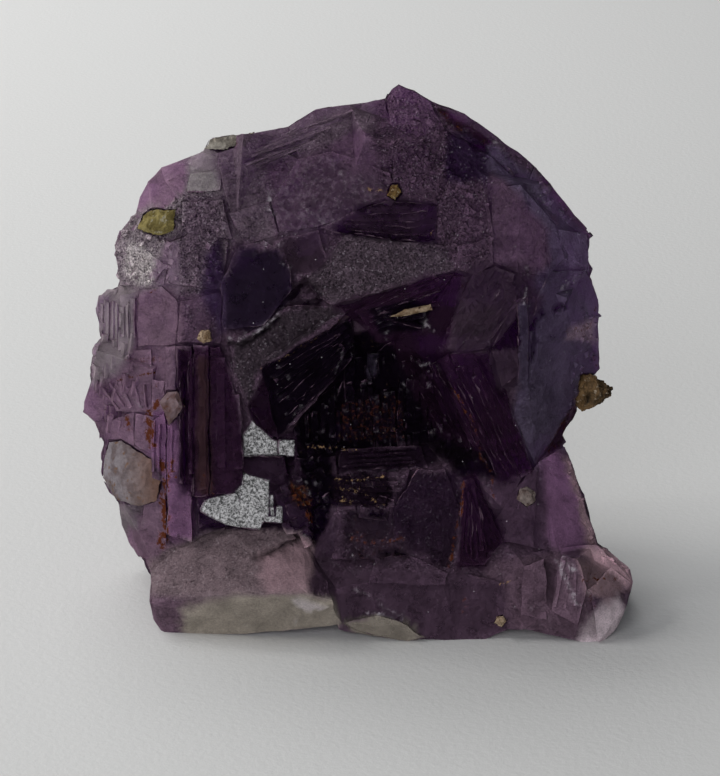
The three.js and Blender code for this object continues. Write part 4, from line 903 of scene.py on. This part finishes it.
class Nodes:
    """A short way to build a node material."""

    def __init__(self, name):
        self.material = bpy.data.materials.new(name)
        self.material.use_nodes = True
        self.tree = self.material.node_tree
        self.tree.nodes.clear()
        self.output = self.tree.nodes.new("ShaderNodeOutputMaterial")
        self.where = self.add("ShaderNodeTexCoord").outputs["Object"]

    def add(self, kind, inputs=None, **settings):
        node = self.tree.nodes.new(kind)
        for key, value in settings.items():
            setattr(node, key, value)
        for key, value in (inputs or {}).items():
            self.put(node, key, value)
        return node

    def put(self, node, key, value):
        socket = node.inputs[key]
        if isinstance(value, bpy.types.NodeSocket):
            self.tree.links.new(value, socket)
        elif socket.type == "RGBA":
            socket.default_value = (*value, 1.0)
        else:
            socket.default_value = value

    def math(self, operation, a, b, clamp=False):
        node = self.add("ShaderNodeMath", {0: a, 1: b}, operation=operation, use_clamp=clamp)
        return node.outputs[0]

    def times(self, a, b, clamp=False):
        return self.math("MULTIPLY", a, b, clamp)

    def plus(self, a, b):
        return self.math("ADD", a, b)

    def most(self, a, b):
        return self.math("MAXIMUM", a, b)

    def less(self, a, b):
        return self.math("SUBTRACT", a, b)

    def swing(self, pattern, amount):
        """A pattern of 0 to 1 made to swing about zero by an amount."""
        return self.times(self.less(pattern, 0.5), amount)

    def mix(self, factor, a, b, blend="MIX"):
        node = self.add("ShaderNodeMix", data_type="RGBA", blend_type=blend)
        for socket, value in ((0, factor), (6, a), (7, b)):
            self.put(node, socket, value)
        return node.outputs[2]

    def scaled(self, colour, value):
        """A colour made lighter or darker by a value."""
        grey = self.add("ShaderNodeCombineColor", {0: value, 1: value, 2: value}).outputs[0]
        return self.mix(1.0, colour, grey, "MULTIPLY")

    def noise(self, scale, detail, rough):
        return self.add("ShaderNodeTexNoise", {"Vector": self.where, "Scale": scale,
                                               "Detail": detail, "Roughness": rough}).outputs["Fac"]

    def voronoi(self, scale):
        return self.add("ShaderNodeTexVoronoi", {"Vector": self.where, "Scale": scale}).outputs

    def ramp(self, value, low, high):
        node = self.add("ShaderNodeMapRange", {"Value": value, "From Min": low,
                                               "From Max": high})
        node.interpolation_type = "SMOOTHSTEP"
        return node.outputs[0]

    def attribute(self, name):
        return self.add("ShaderNodeAttribute", attribute_name=name).outputs["Color"]

    def split(self, colour):
        return self.add("ShaderNodeSeparateColor", {0: colour}).outputs

    def bump(self, height, strength, distance):
        return self.add("ShaderNodeBump", {"Height": height, "Strength": strength,
                                           "Distance": distance}).outputs[0]

    def surface(self, colour, rough, bump, **more):
        node = self.add("ShaderNodeBsdfPrincipled", {"Base Color": colour, "Roughness": rough,
                                                     "Normal": bump})
        for key, value in more.items():
            self.put(node, key.replace("_", " "), value)
        return node.outputs[0]

    def finish(self, surface):
        self.put(self.output, "Surface", surface)
        return self.material


def fluorite_material():
    """Frosted where it scatters, clear dark purple where it doesn't."""
    n = Nodes("fluorite")
    tone = n.attribute("tone")
    frost, rust, gold = n.split(n.attribute("finish"))
    clear, mirror, cloud = n.split(n.attribute("extra"))
    speckle = n.noise(4200.0, 2.0, 0.8)
    coarse = n.noise(1500.0, 3.0, 0.6)
    patch = n.noise(420.0, 4.0, 0.6)
    # minute crystal faces, each a little lighter or darker than the next
    glint = n.split(n.voronoi(4800.0)["Color"])[0]

    # grain of the frosted faces, stronger the more frosted they are
    uneven = n.times(n.times(n.less(speckle, 0.5), frost), 5.0)
    uneven = n.plus(uneven, n.times(n.times(n.less(glint, 0.5), frost), 1.4))
    uneven = n.plus(uneven, n.swing(patch, 1.2))
    uneven = n.plus(uneven, n.swing(coarse, 1.0))
    # the pale faces are the smoother ones
    calm = n.times(n.ramp(n.split(tone)[1], 0.0, 0.35), n.ramp(frost, 0.8, 0.65))
    uneven = n.times(uneven, n.less(1.0, n.times(calm, 0.6)))
    body = n.scaled(tone, n.most(n.plus(1.0, uneven), 0.15))

    # painted reflection on the silvery cleavage faces: grey with a coarse black-and-white sparkle
    sparkle = n.ramp(n.noise(2600.0, 3.0, 0.85), 0.38, 0.64)
    body = n.mix(mirror, body, n.mix(sparkle, (0.06, 0.06, 0.06), (0.70, 0.69, 0.70)))
    # pale bloom in the cloudy places, and painted glints along bruised edges and ridges
    pale_bloom_and_glint = n.times(cloud, n.ramp(n.plus(coarse, n.times(cloud, 0.15)), 0.42, 0.85))
    body = n.mix(pale_bloom_and_glint, body, (0.42, 0.38, 0.42))
    # iron stain and golden flecks
    veins = n.plus(n.noise(1700.0, 4.0, 0.65), n.times(rust, 0.22))
    rusty = n.times(n.ramp(veins, 0.58, 0.7), n.times(rust, 1.5), True)
    body = n.mix(rusty, body, (0.10, 0.027, 0.012))
    flecks = n.plus(n.noise(2100.0, 3.0, 0.75), n.times(gold, 0.12))
    flecks = n.times(n.ramp(flecks, 0.66, 0.73), gold, True)
    body = n.mix(flecks, body, (0.30, 0.185, 0.10))
    # painted glints: a few bright specks where tiny faces flash
    flash_cells = n.voronoi(1300.0)
    painted_flash = n.times(n.ramp(n.split(flash_cells["Color"])[1], 0.93, 0.96),
                   n.math("LESS_THAN", flash_cells["Distance"], 0.11))
    body = n.mix(n.times(painted_flash, 0.5), body, (0.75, 0.72, 0.76))
    # a few of the minute faces catch the light
    spark = n.times(n.ramp(glint, 0.93, 0.99), n.ramp(frost, 0.25, 0.8))
    body = n.mix(n.times(spark, 0.22), body, (0.6, 0.56, 0.62))

    # frosted, silvery, stained and pale places let no light through
    through = n.plus(n.less(0.85, n.times(frost, 0.75)), n.times(clear, 0.3))
    solid = n.most(n.most(n.most(mirror, rusty), n.most(pale_bloom_and_glint, flecks)), painted_flash)
    through = n.times(through, n.less(1.0, solid), True)

    rough = n.plus(n.plus(n.times(frost, 0.5), 0.12), n.swing(patch, 0.25))
    height = n.plus(n.plus(n.times(speckle, 0.5), n.times(coarse, 0.6)), n.times(glint, 0.2))
    bump = n.bump(height, n.plus(n.times(frost, 0.6), 0.08), 0.0002)
    stone = n.surface(body, rough, bump, IOR=FLUORITE_IOR, Specular_IOR_Level=0.05)
    glass = n.surface((0.52, 0.21, 0.58), rough, bump, IOR=FLUORITE_IOR,
                      Transmission_Weight=1.0, Specular_IOR_Level=0.1)
    both = n.add("ShaderNodeMixShader", {0: through, 1: stone, 2: glass})
    absorb = n.add("ShaderNodeVolumeAbsorption", {"Color": (0.56, 0.20, 0.64), "Density": 260.0})
    n.put(n.output, "Volume", absorb.outputs[0])
    return n.finish(both.outputs[0])


def rock_material(name, dark, light, accent, scale, through=0.0, rough=0.7, stain=None):
    """A granular mineral: two mixed colours with specks of a third.

    stain is (from, to, colour): an iron stain that grows along +X between two places."""
    n = Nodes(name)
    patch = n.noise(scale, 5.0, 0.6)
    fine = n.noise(scale * 5, 3.0, 0.7)
    body = n.mix(n.ramp(patch, 0.38, 0.62), dark, light)
    body = n.mix(n.ramp(n.noise(scale * 2.2, 4.0, 0.6), 0.58, 0.66), body, accent)
    if stain:
        x = n.add("ShaderNodeSeparateXYZ", {0: n.where}).outputs[0]
        x = n.plus(x, n.swing(patch, 0.008))
        body = n.mix(n.ramp(x, stain[0], stain[1]), body, stain[2])
    body = n.scaled(body, n.plus(n.times(fine, 0.8), 0.6))
    roughness = n.plus(n.times(fine, 0.25), rough - 0.12)
    bump = n.bump(fine, 0.5, 0.0003)
    return n.finish(n.surface(body, roughness, bump, IOR=1.5, Transmission_Weight=through))



mass.data.materials.append(fluorite_material())

# ---------- lodged grains

CALCITE = rock_material("calcite", (0.19, 0.145, 0.15), (0.35, 0.31, 0.34), (0.24, 0.14, 0.09),
                        420.0, 0.25, 0.5, (-0.036, -0.027, (0.24, 0.12, 0.08)))
CHIP = rock_material("calcite_chip", (0.17, 0.10, 0.10), (0.29, 0.20, 0.22), (0.13, 0.05, 0.03),
                     600.0, 0.25, 0.5)
KNOB = rock_material("brown_rock", (0.03, 0.018, 0.008), (0.20, 0.12, 0.055), (0.42, 0.33, 0.24),
                     420.0)
YELLOW = rock_material("yellow_mineral", (0.13, 0.10, 0.03), (0.27, 0.22, 0.08),
                       (0.30, 0.27, 0.19), 500.0)
PALE = rock_material("pale_mineral", (0.15, 0.10, 0.09), (0.30, 0.24, 0.22), (0.10, 0.06, 0.045),
                     600.0, 0.15)
TAN = rock_material("tan_earth", (0.18, 0.11, 0.06), (0.42, 0.31, 0.21), (0.08, 0.04, 0.02), 700.0)
OCHRE = rock_material("ochre_earth", (0.09, 0.045, 0.015), (0.24, 0.15, 0.05), (0.4, 0.32, 0.2),
                      700.0)
CRUST = rock_material("crust_earth", (0.14, 0.12, 0.10), (0.34, 0.31, 0.27), (0.48, 0.42, 0.35),
                      450.0)
GRAIN_EDGE = 0.3  # length allowed to an edge of their meshes, in mm
# node: (slot, material, lumpiness in mm, size of the lumps in mm)
GRAINS = {
    "calcite_block": ("calcite", CALCITE, 0.22, 1.6),
    "calcite_chip": ("calcite", CHIP, 0.16, 1.0),
    "brown_knob": ("brown_rock", KNOB, 0.5, 1.1),
    "yellow_grain": ("yellow_mineral", YELLOW, 0.25, 0.8),
    "pale_grain": ("pale_mineral", PALE, 0.16, 0.7),
    "tan_sliver": ("tan_earth", TAN, 0.1, 0.5),
    "tan_crumb_left": ("tan_earth", TAN, 0.16, 0.6),
    "tan_crumb_low": ("tan_earth", TAN, 0.12, 0.5),
    "ochre_crumb": ("ochre_earth", OCHRE, 0.16, 0.6),
    "tan_crust": ("crust_earth", CRUST, 0.25, 0.8),
}
for node, (slot, material, height, size) in GRAINS.items():
    bm = clean_copy(node)
    split_long_edges(bm, lambda place: GRAIN_EDGE)
    bm.normal_update()
    shift = Vector((len(node), 3.1, 0.7))
    for v in bm.verts:
        coarse = noise.noise(v.co / size + shift)
        fine = noise.noise(v.co / (size * 0.4) + shift)
        v.co += v.normal * (height * (coarse - 0.45) + height * 0.5 * fine)
    grain_object = make_object(node + "_stone", bm, MM)
    grain_object.data.materials.append(material)
    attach(grain_object, "root")
    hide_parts(node)

# ---------- floor, light and camera

bpy.ops.mesh.primitive_plane_add(size=4.0, location=(0, 0, 0))
floor = bpy.context.object
floor.name = "floor"
paper = Nodes("paper")
tooth = paper.bump(paper.noise(900.0, 3.0, 0.6), 0.25, 0.0004)
floor.data.materials.append(paper.finish(paper.surface((0.80, 0.80, 0.79), 0.9, tooth)))
floor.visible_glossy = False


def area_light(name, place, target, size, power, colour=(1, 1, 1)):
    data = bpy.data.lights.new(name, "AREA")
    data.size = size
    data.energy = power
    data.color = colour
    lamp = bpy.data.objects.new(name, data)
    bpy.context.scene.collection.objects.link(lamp)
    lamp.location = place
    lamp.rotation_euler = (Vector(target) - Vector(place)).to_track_quat("-Z", "Y").to_euler()
    return lamp


soft_lights = [
    area_light("window", (-0.70, 0.10, 0.55), (0, 0, 0.03), 0.5, 3.1, (1.0, 0.99, 0.97)),
    area_light("sky", (-0.35, 0.62, 0.65), (-0.25, 0.4, 0), 0.7, 4.3),
    area_light("fill", (-0.25, -0.9, 0.30), (0, 0, 0.03), 0.8, 4.5, (0.97, 0.98, 1.0)),
]
for lamp in soft_lights:
    lamp.visible_glossy = False  # they would lay a grey veil on the dark faces
    lamp.visible_transmission = False
area_light("glint", (-0.60, -0.15, 0.60), (0, 0, 0.03), 0.12, 0.35)

scene = bpy.context.scene
world = bpy.data.worlds.new("soft")
world.use_nodes = True
daylight = world.node_tree.nodes["Background"].inputs
daylight["Color"].default_value = (0.80, 0.83, 0.88, 1)
daylight["Strength"].default_value = 0.12
scene.world = world
world.cycles_visibility.glossy = False
scene.view_settings.view_transform = "Standard"

SENSOR = 36.0
PICTURE_WIDTH = 108.0  # mm of the layout's plane from one side of the picture to the other
camera_data = bpy.data.cameras.new("camera")
camera_data.sensor_fit = "HORIZONTAL"
camera_data.sensor_width = SENSOR
camera_data.lens = SENSOR * STAND_OFF / PICTURE_WIDTH
camera_data.clip_start = 0.01
camera_data.dof.use_dof = False
camera = bpy.data.objects.new("camera", camera_data)
scene.collection.objects.link(camera)
camera.location = EYE * MM
camera.rotation_euler = AHEAD.to_track_quat("-Z", "Y").to_euler()
scene.camera = camera
